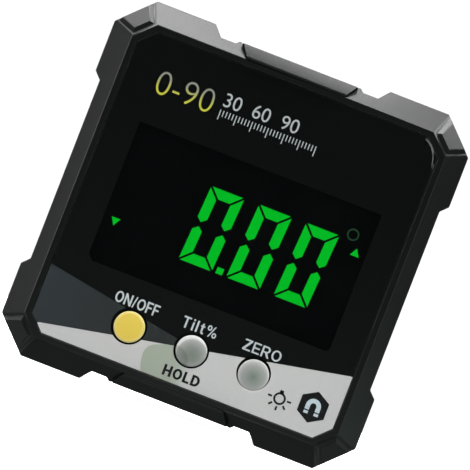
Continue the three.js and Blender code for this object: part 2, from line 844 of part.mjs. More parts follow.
function buttonCap(x) {
  const radius = capDiameter / 2;
  const crown = Array.from({ length: crownSteps + 1 }, (_, i) => {
    const angle = Math.PI / 2 * i / crownSteps;
    const inward = capCrownInset * (1 - Math.cos(angle));
    return [radius - inward, capCrown * (1 - Math.sin(angle))];
  });
  return turned([
    [0, plungerFront], [stemRadius, plungerFront], [stemRadius, flangeBack],
    [radius + flangeReach, flangeBack], [radius + flangeReach, flangeFront], [radius, flangeFront],
    ...crown, [0, 0],
  ], x, buttonRowZ, capSides);
}

// Screws with their heads towards the back

function screw(x, z, seat, length, radius, headRadius, headHeight) {
  const top = seat + headHeight;
  const body = turned([
    [0, seat - length], [radius / 2, seat - length], [radius, seat - length + screwPoint],
    [radius, seat], [headRadius, seat], [headRadius, seat + headHeight * headDomeShare],
    [headRadius * headDomeShare, top], [0, top],
  ], x, z, screwSides);
  const reach = headRadius * crossReachShare;
  const half = crossWidth / 2;
  const bottom = top - crossDepth;
  return body
    .subtract(block(x - reach, x + reach, bottom, top + overrun, z - half, z + half))
    .subtract(block(x - half, x + half, bottom, top + overrun, z - reach, z + reach));
}

// Cells and contacts

function cell(direction, z) {
  const half = cellLength / 2;
  const shoulder = half - cellNubLength;
  const profile = [
    [0, cellEndRecess - half], [cellRadius / 2, cellEndRecess - half], [cellRadius / 2, -half],
    [cellRadius - cellEdge, -half], [cellRadius, cellEdge - half], [cellRadius, shoulder - cellEdge],
    [cellRadius - cellEdge, shoulder], [cellNubRadius, shoulder], [cellNubRadius, half], [0, half],
  ].map(([radius, along]) => new THREE.Vector2(radius, along));
  const geometry = new THREE.LatheGeometry(profile, cellSides);
  geometry.rotateZ(-direction * Math.PI / 2);
  geometry.translate(0, cellAxisY, z);
  return toSolid(geometry);
}

function contactPlate(side, z) {
  const wall = side * bayHalfLength;
  const face = side * (bayHalfLength - contactThickness);
  const [left, right] = [wall, face].sort((a, b) => a - b);
  const low = bayFloor + cellPlay;
  return block(left, right, low, low + contactHeight, z - contactHalfWidth, z + contactHalfWidth);
}

function contactBump(side, z) {
  const face = bayHalfLength - contactThickness / 2;
  const peak = cellLength / 2 + contactTouch;
  const geometry = new THREE.CylinderGeometry(
    contactBumpRadius / 2, contactBumpRadius, face - peak, holeSides,
  );
  geometry.rotateZ(side * Math.PI / 2);
  geometry.translate(side * (face + peak) / 2, cellAxisY, z);
  return toSolid(geometry);
}

function contactLeaf(side, z) {
  const face = bayHalfLength - contactThickness / 2;
  const peak = cellLength / 2 + contactTouch;
  const half = contactLeafHalf;
  const thin = contactThickness * 2;
  const outline = [[face, -half], [peak, 0], [face, half], [face, half - thin],
    [peak + contactThickness, 0], [face, thin - half]];
  const bent = outline.map(([x, y]) => [side * x, cellAxisY + y]);
  return uprightPrism(bent, z - contactHalfWidth / 2, z + contactHalfWidth / 2);
}

function contactTail(side, z) {
  const [left, right] = [side * bayHalfLength, side * (bayHalfLength - contactThickness)]
    .sort((a, b) => a - b);
  const half = tailWidth / 2;
  return block(left, right, boardBack, bayFloor + 2 * cellPlay, z - half, z + half);
}

function positiveContact() {
  return contactPlate(-1, cellAxisZ).add(contactBump(-1, cellAxisZ)).add(contactTail(-1, cellAxisZ));
}

function negativeContact() {
  return contactPlate(-1, -cellAxisZ).add(contactLeaf(-1, -cellAxisZ)).add(contactTail(-1, -cellAxisZ));
}

function bridgeContact() {
  const left = bayHalfLength - contactThickness;
  const low = bayFloor + cellPlay;
  const strap = block(left, bayHalfLength, low + ridgeHeight, low + contactHeight, -cellAxisZ, cellAxisZ);
  return contactPlate(1, cellAxisZ).add(contactPlate(1, -cellAxisZ)).add(strap)
    .add(contactLeaf(1, cellAxisZ)).add(contactBump(1, -cellAxisZ));
}

// Battery door

function batteryDoor() {
  let door = prism(offsetCutRectangle(doorHalfWidth, doorHalfHeight, doorCornerCut, 0), doorSeat, backFace);
  for (const z of [-doorScrewZ, doorScrewZ]) {
    const hole = doorScrewRadius + screwClearance;
    const head = doorScrewHeadRadius + headClearance;
    door = door.subtract(rod(hole, doorSeat - overrun, backFace + overrun, 0, z, holeSides));
    door = door.subtract(rod(head, doorScrewSeat, backFace + overrun, 0, z, holeSides));
  }
  return door;
}

function doorSeal() {
  const ring = (offset, front, back) => prism(rectangle(
    -mouthHalfLength - offset, mouthHalfLength + offset, -bayHalfHeight - offset, bayHalfHeight + offset,
  ), front, back);
  const inner = doorSealInset + doorSealPlay;
  return ring(inner + doorSealWidth, doorSeat - doorSealThickness, doorSeat)
    .subtract(ring(inner, doorSeat - doorSealThickness - overrun, doorSeat + overrun));
}

// Finishes

function finish(color, roughness, metalness = 0) {
  return new THREE.MeshStandardMaterial({ color, roughness, metalness, flatShading: true });
}

const blackPlastic = () => finish(0x1f2120, 0.55);
const clearPlastic = () => finish(0x0c0e0d, 0.1);
const printedFilm = () => finish(0x101211, 0.4);
const foamTape = () => finish(0x2a2a2a, 0.9);
const blackRubber = () => finish(0x161616, 0.8);
const zincSteel = () => finish(0xb9bcc0, 0.35, 1);
const nickelMagnet = () => finish(0xc8cacd, 0.25, 1);
const springSteel = () => finish(0xd0cfca, 0.3, 1);
const greyPlate = () => finish(0x4c4e4f, 0.45, 0.4);
const boardGreen = () => finish(0x14502e, 0.5);
const chipBlack = () => finish(0x1b1b1c, 0.6);
const canMetal = () => finish(0xc4c6c8, 0.3, 1);
const switchPlastic = () => finish(0x202022, 0.5);
const framePlastic = () => finish(0xe4e4e0, 0.5);
const displayGlass = () => finish(0x050606, 0.08);
const guideAcrylic = () => finish(0xf2f4f0, 0.2);
const ledPackage = () => finish(0xf6f2d8, 0.4);
const connectorRubber = () => finish(0x55585c, 0.7);
const cellJacket = () => finish(0x2f5f9a, 0.35);
const yellowCap = () => finish(0xe2cb56, 0.35);
const greyCap = () => finish(0x8e928f, 0.3);
const paleCap = () => finish(0xb4b8b5, 0.3);

// Assembly

const device = new THREE.Group();
device.position.set(0, -backFace / 2, halfHeight);

function addPart(name, solid, material) {
  const mesh = new THREE.Mesh(toGeometry(solid), material);
  mesh.name = name;
  device.add(mesh);
}

const body = wholeBody();
addPart('front_housing', frontHousing(body), blackPlastic());
addPart('rear_housing', rearHousing(body), blackPlastic());
addPart('housing_seal', housingSeal(), blackRubber());
addPart('front_window', frontWindow(), clearPlastic());
addPart('graphic_film', graphicFilm(), printedFilm());
addPart('window_tape', windowTape(), foamTape());

addPart('lcd_frame', lcdFrame(), framePlastic());
addPart('lcd_glass', lcdGlass(), displayGlass());
addPart('light_guide', lightGuide(), guideAcrylic());
addPart('lcd_connector', lcdConnector(), connectorRubber());
addPart('backlight_led_1', backlightLed(-1), ledPackage());
addPart('backlight_led_2', backlightLed(1), ledPackage());

addPart('circuit_board', circuitBoard(), boardGreen());
addPart('controller_chip', controllerChip(), chipBlack());
addPart('tilt_sensor', tiltSensor(), chipBlack());
addPart('crystal', crystal(), canMetal());

const buttonNames = ['power', 'units', 'zero'];
const capFinishes = [yellowCap, greyCap, paleCap];
buttonNames.forEach((name, i) => {
  addPart(`${name}_button`, buttonCap(buttonXs[i]), capFinishes[i]());
  addPart(`${name}_plunger`, plunger(buttonXs[i]), switchPlastic());
  addPart(`${name}_switch`, switchBody(buttonXs[i]), canMetal());
});

addPart('battery_1', cell(1, -cellAxisZ), cellJacket());
addPart('battery_2', cell(-1, cellAxisZ), cellJacket());
addPart('positive_contact', positiveContact(), springSteel());
addPart('negative_contact', negativeContact(), springSteel());
addPart('bridge_contact', bridgeContact(), springSteel());

for (const [name, side] of [['base', -1], ['top', 1]]) {
  addPart(`${name}_plate`, magneticPlate(side), greyPlate());
  magnetSpans().forEach(([front, back], i) => {
    addPart(`${name}_magnet_${i + 1}`, magnet(side, front, back), nickelMagnet());
  });
}

screwPlaces().forEach(([x, z], i) => {
  addPart(`housing_screw_${i + 1}`, screw(
    x, z, housingScrewSeat, housingScrewLength, housingScrewRadius,
    housingScrewHeadRadius, housingScrewHeadHeight,
  ), zincSteel());
});
postPlaces().forEach(([x, z], i) => {
  addPart(`board_screw_${i + 1}`, screw(
    x, z, boardBack, boardScrewLength, boardScrewRadius, boardScrewHeadRadius, boardScrewHeadHeight,
  ), zincSteel());
});

addPart('battery_door', batteryDoor(), blackPlastic());
addPart('door_seal', doorSeal(), blackRubber());
[-doorScrewZ, doorScrewZ].forEach((z, i) => {
  addPart(`door_screw_${i + 1}`, screw(
    0, z, doorScrewSeat, doorScrewLength, doorScrewRadius, doorScrewHeadRadius, doorScrewHeadHeight,
  ), zincSteel());
});

export default device;
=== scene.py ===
# %% [markdown]
# # A pocket inclinometer in front of a white wall
# The object is a square digital level: a black moulded housing with corner bumpers, a clear window
# over a printed film, a backlit display, three soft keys, magnetic plates and a battery door.
# Its measured solids arrive as a fixed frame. This script never moves them: it gives them finishes
# and softened edges, and adds what is too fine for a measured solid, such as inks and lit segments.

# %% Frame
import math

import bmesh
import bpy
from mathutils import Matrix, Vector


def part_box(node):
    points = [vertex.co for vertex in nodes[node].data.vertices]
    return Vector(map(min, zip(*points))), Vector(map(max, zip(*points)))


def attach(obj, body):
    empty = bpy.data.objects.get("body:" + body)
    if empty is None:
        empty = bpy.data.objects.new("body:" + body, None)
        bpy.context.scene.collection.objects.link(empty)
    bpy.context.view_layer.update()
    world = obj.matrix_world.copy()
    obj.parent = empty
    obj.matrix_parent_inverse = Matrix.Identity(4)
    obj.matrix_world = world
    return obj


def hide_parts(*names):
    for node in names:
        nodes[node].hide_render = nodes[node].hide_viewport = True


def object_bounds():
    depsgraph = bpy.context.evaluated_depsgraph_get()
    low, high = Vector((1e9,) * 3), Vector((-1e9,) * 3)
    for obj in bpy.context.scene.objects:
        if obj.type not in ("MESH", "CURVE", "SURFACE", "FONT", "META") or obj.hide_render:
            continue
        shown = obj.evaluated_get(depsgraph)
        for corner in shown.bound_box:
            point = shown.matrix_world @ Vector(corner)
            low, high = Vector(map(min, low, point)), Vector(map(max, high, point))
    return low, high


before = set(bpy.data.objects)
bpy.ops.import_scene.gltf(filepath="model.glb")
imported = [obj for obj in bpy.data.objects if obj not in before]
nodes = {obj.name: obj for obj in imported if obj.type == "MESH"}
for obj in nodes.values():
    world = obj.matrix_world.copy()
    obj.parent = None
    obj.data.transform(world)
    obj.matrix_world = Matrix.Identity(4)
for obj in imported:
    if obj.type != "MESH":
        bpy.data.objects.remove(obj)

cad_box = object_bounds()
MM = 0.001

# %% [markdown]
# ## Colours and nodes
# Colours are picked as sRGB hex values, the way a screen shows them, but a renderer adds light up in
# linear values. One function turns the first into the second. A second one adds a node together with
# its settings and its inputs, so that each material below reads like a recipe.

# %% Colour and node helpers
def linear(hex_value):
    """The linear colour, with full alpha, of an sRGB value such as '#c4c4c4'."""
    channels = [int(hex_value[i:i + 2], 16) / 255 for i in (1, 3, 5)]
    bent = [c / 12.92 if c <= 0.04045 else ((c + 0.055) / 1.055) ** 2.4 for c in channels]
    return (*bent, 1.0)


def add_node(tree, kind, settings=None, inputs=None, stops=()):
    """Adds one node. An input is a plain value or the socket that feeds it. Stops colour a ramp."""
    node = tree.nodes.new(kind)
    for name, value in (settings or {}).items():
        setattr(node, name, value)
    for name, value in (inputs or {}).items():
        if isinstance(value, bpy.types.NodeSocket):
            tree.links.new(value, node.inputs[name])
        else:
            node.inputs[name].default_value = value
    if stops:
        for _ in stops[2:]:
            node.color_ramp.elements.new(0.5)
        for element, (place, colour) in zip(node.color_ramp.elements, stops):
            element.position = place
            element.color = linear(colour)
    return node


def start_material(name):
    """An empty material, its tree, and the place of each point in the object's own frame."""
    material = bpy.data.materials.new(name)
    material.use_nodes = True
    tree = material.node_tree
    tree.nodes.clear()
    place = add_node(tree, "ShaderNodeTexCoord").outputs["Object"]
    return material, tree, place


def finish_material(material, inputs):
    """Joins a principled shader with these inputs to the output, and hands the material back."""
    tree = material.node_tree
    shader = add_node(tree, "ShaderNodeBsdfPrincipled", inputs=inputs).outputs[0]
    add_node(tree, "ShaderNodeOutputMaterial", inputs={"Surface": shader})
    return material


print("white in linear light:", linear("#ffffff"))

# %% [markdown]
# Most finishes here have one grain, from the mesh of a printing screen to the cells of a foam. Where it
# is high the colour is paler, the surface duller and, if the grain can be felt, raised. One recipe takes
# the real size of the grain in millimetres, two or more colours, and how dull and how deep it is.

# %% One recipe for grained finishes
def per_metre(size_mm):
    """The scale that makes one cell of a pattern as large as a real size in millimetres."""
    return 1 / (size_mm * MM)


def grained(name, grain_mm, detail, stops, roughness, others, relief=None, stretch=(1, 1, 1)):
    """A finish with one grain. Roughness is (lowest, highest), relief (depth in millimetres, strength)."""
    material, tree, place = start_material(name)
    worked = add_node(tree, "ShaderNodeMapping", inputs={"Vector": place, "Scale": stretch}).outputs[0]
    grain = add_node(tree, "ShaderNodeTexNoise", inputs={
        "Vector": worked, "Scale": per_metre(grain_mm), "Detail": detail,
    }).outputs["Fac"]
    colour = add_node(tree, "ShaderNodeValToRGB", inputs={"Fac": grain}, stops=stops).outputs["Color"]
    dull = add_node(tree, "ShaderNodeMapRange", inputs={
        "Value": grain, "To Min": roughness[0], "To Max": roughness[1],
    }).outputs["Result"]
    inputs = {"Base Color": colour, "Roughness": dull, **others}
    if relief:
        depth_mm, strength = relief
        inputs["Normal"] = add_node(tree, "ShaderNodeBump", inputs={
            "Height": grain, "Distance": depth_mm * MM, "Strength": strength,
        }).outputs["Normal"]
    return finish_material(material, inputs)


print("scale of a 0.5 mm grain:", per_metre(0.5))

# %% [markdown]
# ## Camera
# The view is square on, from so far away that there is hardly any perspective, and the level leans to
# the right by 21 degrees. Turning the object would spoil its frame, so the camera is rolled to the left
# instead. A long lens keeps the view nearly parallel, and its distance follows from the width of the
# picture at the front of the housing.

# %% Camera
def new_object(name, data):
    """Puts a new object with this data into the scene."""
    made = bpy.data.objects.new(name, data)
    bpy.context.scene.collection.objects.link(made)
    return made


front_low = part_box("front_housing")[0]
ROLL_DEGREES = 21.2
PICTURE_WIDTH = 74.1 * MM
LENS_MM, SENSOR_MM = 600.0, 36.0
camera_distance = PICTURE_WIDTH * LENS_MM / SENSOR_MM
middle = Vector((0, front_low.y, (cad_box[0][2] + cad_box[1][2]) / 2))
camera_data = bpy.data.cameras.new("portrait_lens")
camera_data.lens = LENS_MM
camera_data.sensor_width = SENSOR_MM
camera_data.clip_start = 10 * MM
camera_data.clip_end = 20.0
camera = new_object("camera", camera_data)
camera.matrix_world = (
    Matrix.Translation(middle - Vector((0, camera_distance, 0)))
    @ Matrix.Rotation(math.radians(90), 4, "X")
    @ Matrix.Rotation(math.radians(ROLL_DEGREES), 4, "Z")
)
bpy.context.scene.camera = camera
bpy.context.scene.view_settings.view_transform = "Standard"
print("camera stands", round(camera_distance / MM), "mm in front of the rim")

# %% [markdown]
# ## Light
# Black plastic shows its shape by what it mirrors, and its front stays black because it mirrors the dark
# room around the camera. Four soft lamps hang overhead, strongest left of the middle, and make the top
# bevels bright. A ring of six stands 65 degrees off the view, where the flat window can't mirror them,
# and lights the print from all round. Weaker lamps stand behind the front for the steps of the bumpers,
# and faint cool ones below for the lower bevels and corner pads. Two more light the back.
# Three lamps of the ring would show as white patches on the bevels, so their mirror images are switched
# off. The two gleams are so near that the window would mirror them, so they light only the front shell
# and the base plate.

# %% Lamps
def soft_lamp(name, direction, distance, size, watts, colour="#ffffff"):
    """A square lamp at a distance in a direction from the middle of the front, facing it."""
    data = bpy.data.lights.new(name, "AREA")
    data.shape = "SQUARE"
    data.size = size
    data.energy = watts
    data.color = linear(colour)[:3]
    lamp = new_object(name, data)
    out = Vector(direction).normalized()
    lamp.location = middle + out * distance
    lamp.rotation_euler = out.to_track_quat("Z", "Y").to_euler()
    return lamp


COOL = "#ecfff6"
# Direction, distance and edge length in metres, watts, and the colour where it isn't white
LAMPS = {
    "overhead_left": ((-0.7, 0.05, 1.0), 0.45, 0.22, 0.74),
    "overhead_middle": ((-0.2, 0.05, 1.0), 0.45, 0.22, 1.50),
    "overhead_right": ((0.57, 0.05, 1.0), 0.45, 0.22, 0.96),
    "overhead_front": ((0.2, -0.45, 1.0), 0.45, 0.22, 1.00),
    "upper_right_fill": ((0.64, -0.42, 0.64), 0.75, 0.30, 3.30),
    "upper_left_fill": ((-0.64, -0.42, 0.64), 0.75, 0.30, 1.30),
    "right_fill": ((0.91, -0.42, 0.0), 0.75, 0.30, 0.46, COOL),
    "left_fill": ((-0.91, -0.42, 0.0), 0.75, 0.30, 1.70),
    "lower_right_fill": ((0.64, -0.42, -0.64), 0.75, 0.30, 2.10),
    "lower_left_fill": ((-0.64, -0.42, -0.64), 0.75, 0.30, 2.00),
    "under_glow": ((0.0, 0.0, -1.0), 0.60, 0.30, 0.045, COOL),
    "under_front_glow": ((0.0, -0.48, -0.86), 0.60, 0.30, 0.035, COOL),
    "high_right_step": ((0.45, 0.40, 0.85), 0.45, 0.16, 0.50),
    "high_left_step": ((-0.45, 0.40, 0.85), 0.45, 0.16, 0.35),
    "low_right_step": ((0.45, 0.40, -0.85), 0.45, 0.16, 0.07),
    "low_left_step": ((-0.45, 0.40, -0.85), 0.45, 0.16, 0.07),
    "low_right_pad": ((0.71, 0.0, -0.71), 0.60, 0.40, 0.11, COOL),
    "low_left_pad": ((-0.71, 0.0, -0.71), 0.60, 0.40, 0.16, COOL),
    "low_front_gleam": ((0.0, -0.8, -0.6), 0.12, 0.05, 0.020, COOL),
    "low_right_gleam": ((1.0, 0.0, -0.3), 0.15, 0.05, 0.004, COOL),
    "back_key": ((0.55, 1.0, 0.75), 1.10, 1.00, 12.0),
    "back_fill": ((-0.9, 0.9, 0.2), 0.75, 0.50, 3.0),
}
lamps = {name: soft_lamp(name, *placing) for name, placing in LAMPS.items()}
for name in ("lower_right_fill", "lower_left_fill", "upper_right_fill"):
    lamps[name].visible_glossy = False
gleam_receivers = bpy.data.collections.new("gleam_receivers")
for name in ("front_housing", "base_plate"):
    gleam_receivers.objects.link(nodes[name])
for name in ("low_front_gleam", "low_right_gleam"):
    lamps[name].light_linking.receiver_collection = gleam_receivers
print("lamps:", list(lamps))

# %% [markdown]
# The world is white where the camera looks at it and nearly black for everything else, so that the
# wall reads as white paper without washing out the black plastic.

# %% World
WALL_STRENGTH, ROOM_STRENGTH = 1.05, 0.04
world = bpy.data.worlds.new("white_wall")
bpy.context.scene.world = world
world.use_nodes = True
tree = world.node_tree
tree.nodes.clear()
seen = add_node(tree, "ShaderNodeLightPath").outputs["Is Camera Ray"]
room, wall = (
    add_node(tree, "ShaderNodeBackground", inputs={"Color": linear(colour), "Strength": strength})
    for colour, strength in (("#8a8f94", ROOM_STRENGTH), ("#ffffff", WALL_STRENGTH))
)
both = add_node(tree, "ShaderNodeMixShader", inputs={"Fac": seen, 1: room.outputs[0], 2: wall.outputs[0]})
add_node(tree, "ShaderNodeOutputWorld", inputs={"Surface": both.outputs[0]})
print("world:", world.name)

# %% [markdown]
# The floor is a wide pale sheet that glows by itself, about as bright as the wall. It is seen by the
# camera alone: the object neither mirrors it nor is lit by it, because its lower bevels are dark. It
# lies a hair below the feet, so that the two surfaces never share a place.

# %% Floor
FLOOR_HALF, FLOOR_DROP, FLOOR_GLOW = 450 * MM, 0.05 * MM, 0.97
floor_mesh = bpy.data.meshes.new("floor")
grid = bmesh.new()
bmesh.ops.create_grid(grid, x_segments=4, y_segments=4, size=FLOOR_HALF)
grid.to_mesh(floor_mesh)
grid.free()
paper_stops = [(0.3, "#f4f4f3"), (0.7, "#ffffff")]
floor_mesh.materials.append(grained("matt_paper", 40, 2.0, paper_stops, (0.9, 0.9), {
    "Specular IOR Level": 0.1, "Emission Color": linear("#ffffff"), "Emission Strength": FLOOR_GLOW,
}))
floor = new_object("floor", floor_mesh)
floor.visible_glossy = False
floor.visible_diffuse = False
floor.visible_transmission = False
floor.visible_shadow = False
floor.location.z = -FLOOR_DROP
print("floor at", cad_box[0][2] - FLOOR_DROP)

# %% [markdown]
# ## Softened edges
# A moulded edge is never sharp: it has a radius of a few tenths of a millimetre, and that is where
# the light catches. The solids are faceted, so each is first cleared of the triangles inside its
# flat faces. A bevel then rounds the edges that turn by more than a set angle, and small nodes smooth
# the shading between facets that nearly face the same way. All of it is done by modifiers, so the
# measured solid underneath is untouched.

# %% Smooth shading by angle
def start_group(name):
    """A node group for a modifier, the solid that enters it, and how far each edge turns."""
    group = bpy.data.node_groups.new(name, "GeometryNodeTree")
    for side in ("INPUT", "OUTPUT"):
        group.interface.new_socket("Geometry", in_out=side, socket_type="NodeSocketGeometry")
    solid = add_node(group, "NodeGroupInput").outputs[0]
    turn = add_node(group, "GeometryNodeInputMeshEdgeAngle").outputs["Unsigned Angle"]
    return group, solid, turn


def smooth_by_angle(limit_degrees):
    """A node group that shades smooth across every edge that turns by less than the limit."""
    group, solid, turn = start_group("smooth_by_angle")
    sharp = add_node(group, "FunctionNodeCompare", {"operation": "GREATER_THAN"}, {
        "A": turn, "B": math.radians(limit_degrees),
    }).outputs["Result"]
    faces = add_node(group, "GeometryNodeSetShadeSmooth", {"domain": "FACE"}, {
        "Geometry": solid, "Shade Smooth": True,
    }).outputs[0]
    edges = add_node(group, "GeometryNodeSetShadeSmooth", {"domain": "EDGE"}, {
        "Geometry": faces, "Selection": sharp, "Shade Smooth": False,
    }).outputs[0]
    add_node(group, "NodeGroupOutput", inputs={0: edges})
    return group


SMOOTH_GROUP = smooth_by_angle(38)
FACETED_GROUP = smooth_by_angle(20)
print("edge groups:", SMOOTH_GROUP.name, FACETED_GROUP.name)

# %% [markdown]
# A few edges come out of the mould crisper than the rest. Each such place is a box with a share of the
# radius, and an edge counts as inside by its middle. The share becomes the edge's bevel weight.

# %% Rounded edges
TURN_DEGREES, FLAT_DEGREES, WELD_REACH = 32, 0.6, 0.002 * MM


def edge_weights(crisp_places):
    """Marks the edges to round. Inside each place, a box in metres, they keep a share of the radius."""
    group, solid, turn = start_group("edge_weights")
    weight = add_node(group, "ShaderNodeMath", {"operation": "GREATER_THAN"}, {
        0: turn, 1: math.radians(TURN_DEGREES),
    }).outputs[0]
    point = add_node(group, "GeometryNodeInputPosition").outputs[0]
    for low, high, kept in crisp_places:
        centre, half = (low + high) / 2, (high - low) / 2
        away = add_node(group, "ShaderNodeVectorMath", {"operation": "SUBTRACT"}, {0: point, 1: centre})
        size = add_node(group, "ShaderNodeVectorMath", {"operation": "ABSOLUTE"}, {0: away.outputs[0]})
        room = add_node(group, "ShaderNodeVectorMath", {"operation": "SUBTRACT"}, {
            0: half, 1: size.outputs[0],
        })
        least, *sides = add_node(group, "ShaderNodeSeparateXYZ", inputs={0: room.outputs[0]}).outputs
        for side in sides:
            least = add_node(group, "ShaderNodeMath", {"operation": "MINIMUM"}, {
                0: least, 1: side,
            }).outputs[0]
        inside = add_node(group, "ShaderNodeMath", {"operation": "GREATER_THAN"}, {0: least, 1: 0.0})
        share = add_node(group, "ShaderNodeMath", {"operation": "MULTIPLY_ADD"}, {
            0: inside.outputs[0], 1: kept - 1, 2: 1.0,
        }).outputs[0]
        weight = add_node(group, "ShaderNodeMath", {"operation": "MULTIPLY"}, {
            0: weight, 1: share,
        }).outputs[0]
    marked = add_node(group, "GeometryNodeStoreNamedAttribute", {
        "data_type": "FLOAT", "domain": "EDGE",
    }, {"Geometry": solid, "Name": "bevel_weight_edge", "Value": weight}).outputs[0]
    add_node(group, "NodeGroupOutput", inputs={0: marked})
    return group


def soften(piece, radius_mm, segments, crisp_places, shading):
    """Rounds the sharp edges of a piece and smooths its round faces, by modifiers alone."""
    weld = piece.modifiers.new("weld", "WELD")
    weld.merge_threshold = WELD_REACH
    flats = piece.modifiers.new("flats", "DECIMATE")
    flats.decimate_type = "DISSOLVE"
    flats.angle_limit = math.radians(FLAT_DEGREES)
    if radius_mm > 0:
        marks = piece.modifiers.new("edge_marks", "NODES")
        marks.node_group = edge_weights(crisp_places)
        bevel = piece.modifiers.new("edge_radius", "BEVEL")
        bevel.width = radius_mm * MM
        bevel.segments = segments
        bevel.limit_method = "WEIGHT"
        bevel.use_clamp_overlap = False
        bevel.harden_normals = True
    smooth = piece.modifiers.new("smooth", "NODES")
    smooth.node_group = shading
    weights = piece.modifiers.new("flat_shading", "WEIGHTED_NORMAL")
    weights.keep_sharp = True


def finish_node(name, material, radius_mm, segments=2, crisp_places=(), shading=SMOOTH_GROUP):
    """Gives a measured solid its finish and its edge radius."""
    piece = nodes[name]
    piece.data.materials.clear()
    piece.data.materials.append(material)
    soften(piece, radius_mm, segments, crisp_places, shading)


print("edges are rounded from", TURN_DEGREES, "degrees")

# %% [markdown]
# ## Housing
# The two shells and the battery door are moulded in black ABS. The steel mould is spark-eroded, which
# leaves a fine leathery grain: it scatters the lamp, so the bevels go grey instead of mirror-bright.
# The grain is really about 0.08 mm. At this size it would vanish, so it is drawn three times as coarse.
# A second, wide pattern varies the black, so this finish has its own recipe.
# Round the window and where the plates meet the front the mould leaves a crisp edge. The front shell
# throws no shadow, because its rim would darken the print close behind it.

# %% Moulded black ABS
CLOUD_MM, GRAIN_DEPTH_MM, ABS_IOR = 9, 0.012, 1.53
CRISP_MARGIN = 0.3 * MM
WINDOW_EDGE_SHARE = 0.3


def grained_black(name, dark, pale, roughness, grain_mm):
    """A spark-eroded or blasted black: a deep grey that breaks up into fine soft sparkle."""
    material, tree, place = start_material(name)
    cloud, grain = (
        add_node(tree, "ShaderNodeTexNoise", inputs={
            "Vector": place, "Scale": per_metre(cell_mm), "Detail": detail, "Roughness": rough,
        }).outputs["Fac"]
        for cell_mm, detail, rough in ((CLOUD_MM, 3.0, 0.55), (grain_mm, 2.0, 0.6))
    )
    colour = add_node(tree, "ShaderNodeValToRGB", inputs={"Fac": cloud}, stops=[(0.25, dark), (0.75, pale)])
    dull = add_node(tree, "ShaderNodeMath", {"operation": "MULTIPLY_ADD"}, {
        0: grain, 1: 0.14, 2: roughness - 0.07,
    })
    bump = add_node(tree, "ShaderNodeBump", inputs={
        "Height": grain, "Distance": GRAIN_DEPTH_MM * MM, "Strength": 0.55,
    })
    return finish_material(material, {
        "Base Color": colour.outputs["Color"], "Roughness": dull.outputs[0],
        "Normal": bump.outputs["Normal"], "IOR": ABS_IOR,
    })


def crisp_place(low, high, kept):
    """A box round two corners with a margin, and the share of the edge radius kept inside it."""
    margin = Vector((CRISP_MARGIN, CRISP_MARGIN, CRISP_MARGIN))
    return low - margin, high + margin, kept


shell_abs = grained_black("spark_eroded_black_abs", "#0a0c0b", "#0f1110", 0.34, 0.24)
window_low, window_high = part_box("front_window")
crisp_places = [crisp_place(
    Vector((window_low.x, front_low.y, window_low.z)), Vector((window_high.x, front_low.y, window_high.z)),
    WINDOW_EDGE_SHARE,
)]
for plate, inner in (("top_plate", 0), ("base_plate", 1)):
    seat = Vector((0, front_low.y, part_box(plate)[inner].z))
    crisp_places.append(crisp_place(seat, seat, 0.0))
finish_node("front_housing", shell_abs, 0.14, 3, crisp_places)
nodes["front_housing"].visible_shadow = False
finish_node("rear_housing", shell_abs, 0.14, 3)
finish_node("battery_door", shell_abs, 0.18, 3)
print("housing finish:", shell_abs.name)

# %% [markdown]
# ## Magnetic plates
# The measuring faces in the base and the top are zinc castings with a dull black coat over a blasted
# surface. Metal shows under the coat as a slightly coarser, greyer sparkle than the plastic has. The
# base plate keeps its cast edges and its facets, because a rounded nose would catch the light below.

# %% Coated zinc plates
plate_zinc = grained_black("black_coated_blasted_zinc", "#0e100f", "#141615", 0.31, 0.34)
finish_node("top_plate", plate_zinc, 0.10)
finish_node("base_plate", plate_zinc, 0.0, shading=FACETED_GROUP)
print("plate finish:", plate_zinc.name)

# %% [markdown]
# ## Window
# The window is a clear cast acrylic sheet with a polished edge, whose chamfer is part of the solid. It
# has real glass-like transmission with acrylic's refractive index. Its shadow is switched off, because
# a path tracer sends the lamp's light through such a sheet only by chance, and the print behind it
# would come out black. The print's own bounced rays skip the sheet too, or they would find the lamps a
# second time.

# %% Clear acrylic
window_acrylic, tree, place = start_material("clear_cast_acrylic")
smear = add_node(tree, "ShaderNodeTexNoise", inputs={
    "Vector": place, "Scale": per_metre(6), "Detail": 2.0,
}).outputs["Fac"]
haze = add_node(tree, "ShaderNodeMapRange", inputs={"Value": smear, "To Min": 0.0, "To Max": 0.02})
finish_material(window_acrylic, {
    "Base Color": linear("#fafcfb"), "Roughness": haze.outputs["Result"],
    "IOR": 1.49, "Transmission Weight": 1.0,
})
finish_node("front_window", window_acrylic, 0.0)
nodes["front_window"].visible_shadow = False
nodes["front_window"].visible_diffuse = False
print("window finish:", window_acrylic.name)

# %% [markdown]
# ## Printed film
# Behind the window lies a black film. Screen printing inks are flat and matt, with tiny differences in
# coverage, so each ink is broken up by a faint mottle about as coarse as the mesh of the screen. Some
# change their colour along one axis. The film's black ground is graded that way too, but as painted
# light: it is painted a little lighter towards the bottom, as if more light came from below.

# %% Screen inks
INK_MESH_MM = 0.35
UNEVENNESS = 0.06


def screen_ink(name, dark, pale, roughness=0.55, sheen=0.2):
    """A flat printed ink: nearly even colour with a faint mottle, and a dull surface."""
    stops, dull = [(0.3, dark), (0.7, pale)], (roughness - 0.05, roughness + 0.05)
    return grained(name, INK_MESH_MM, 1.0, stops, dull, {"Specular IOR Level": sheen})


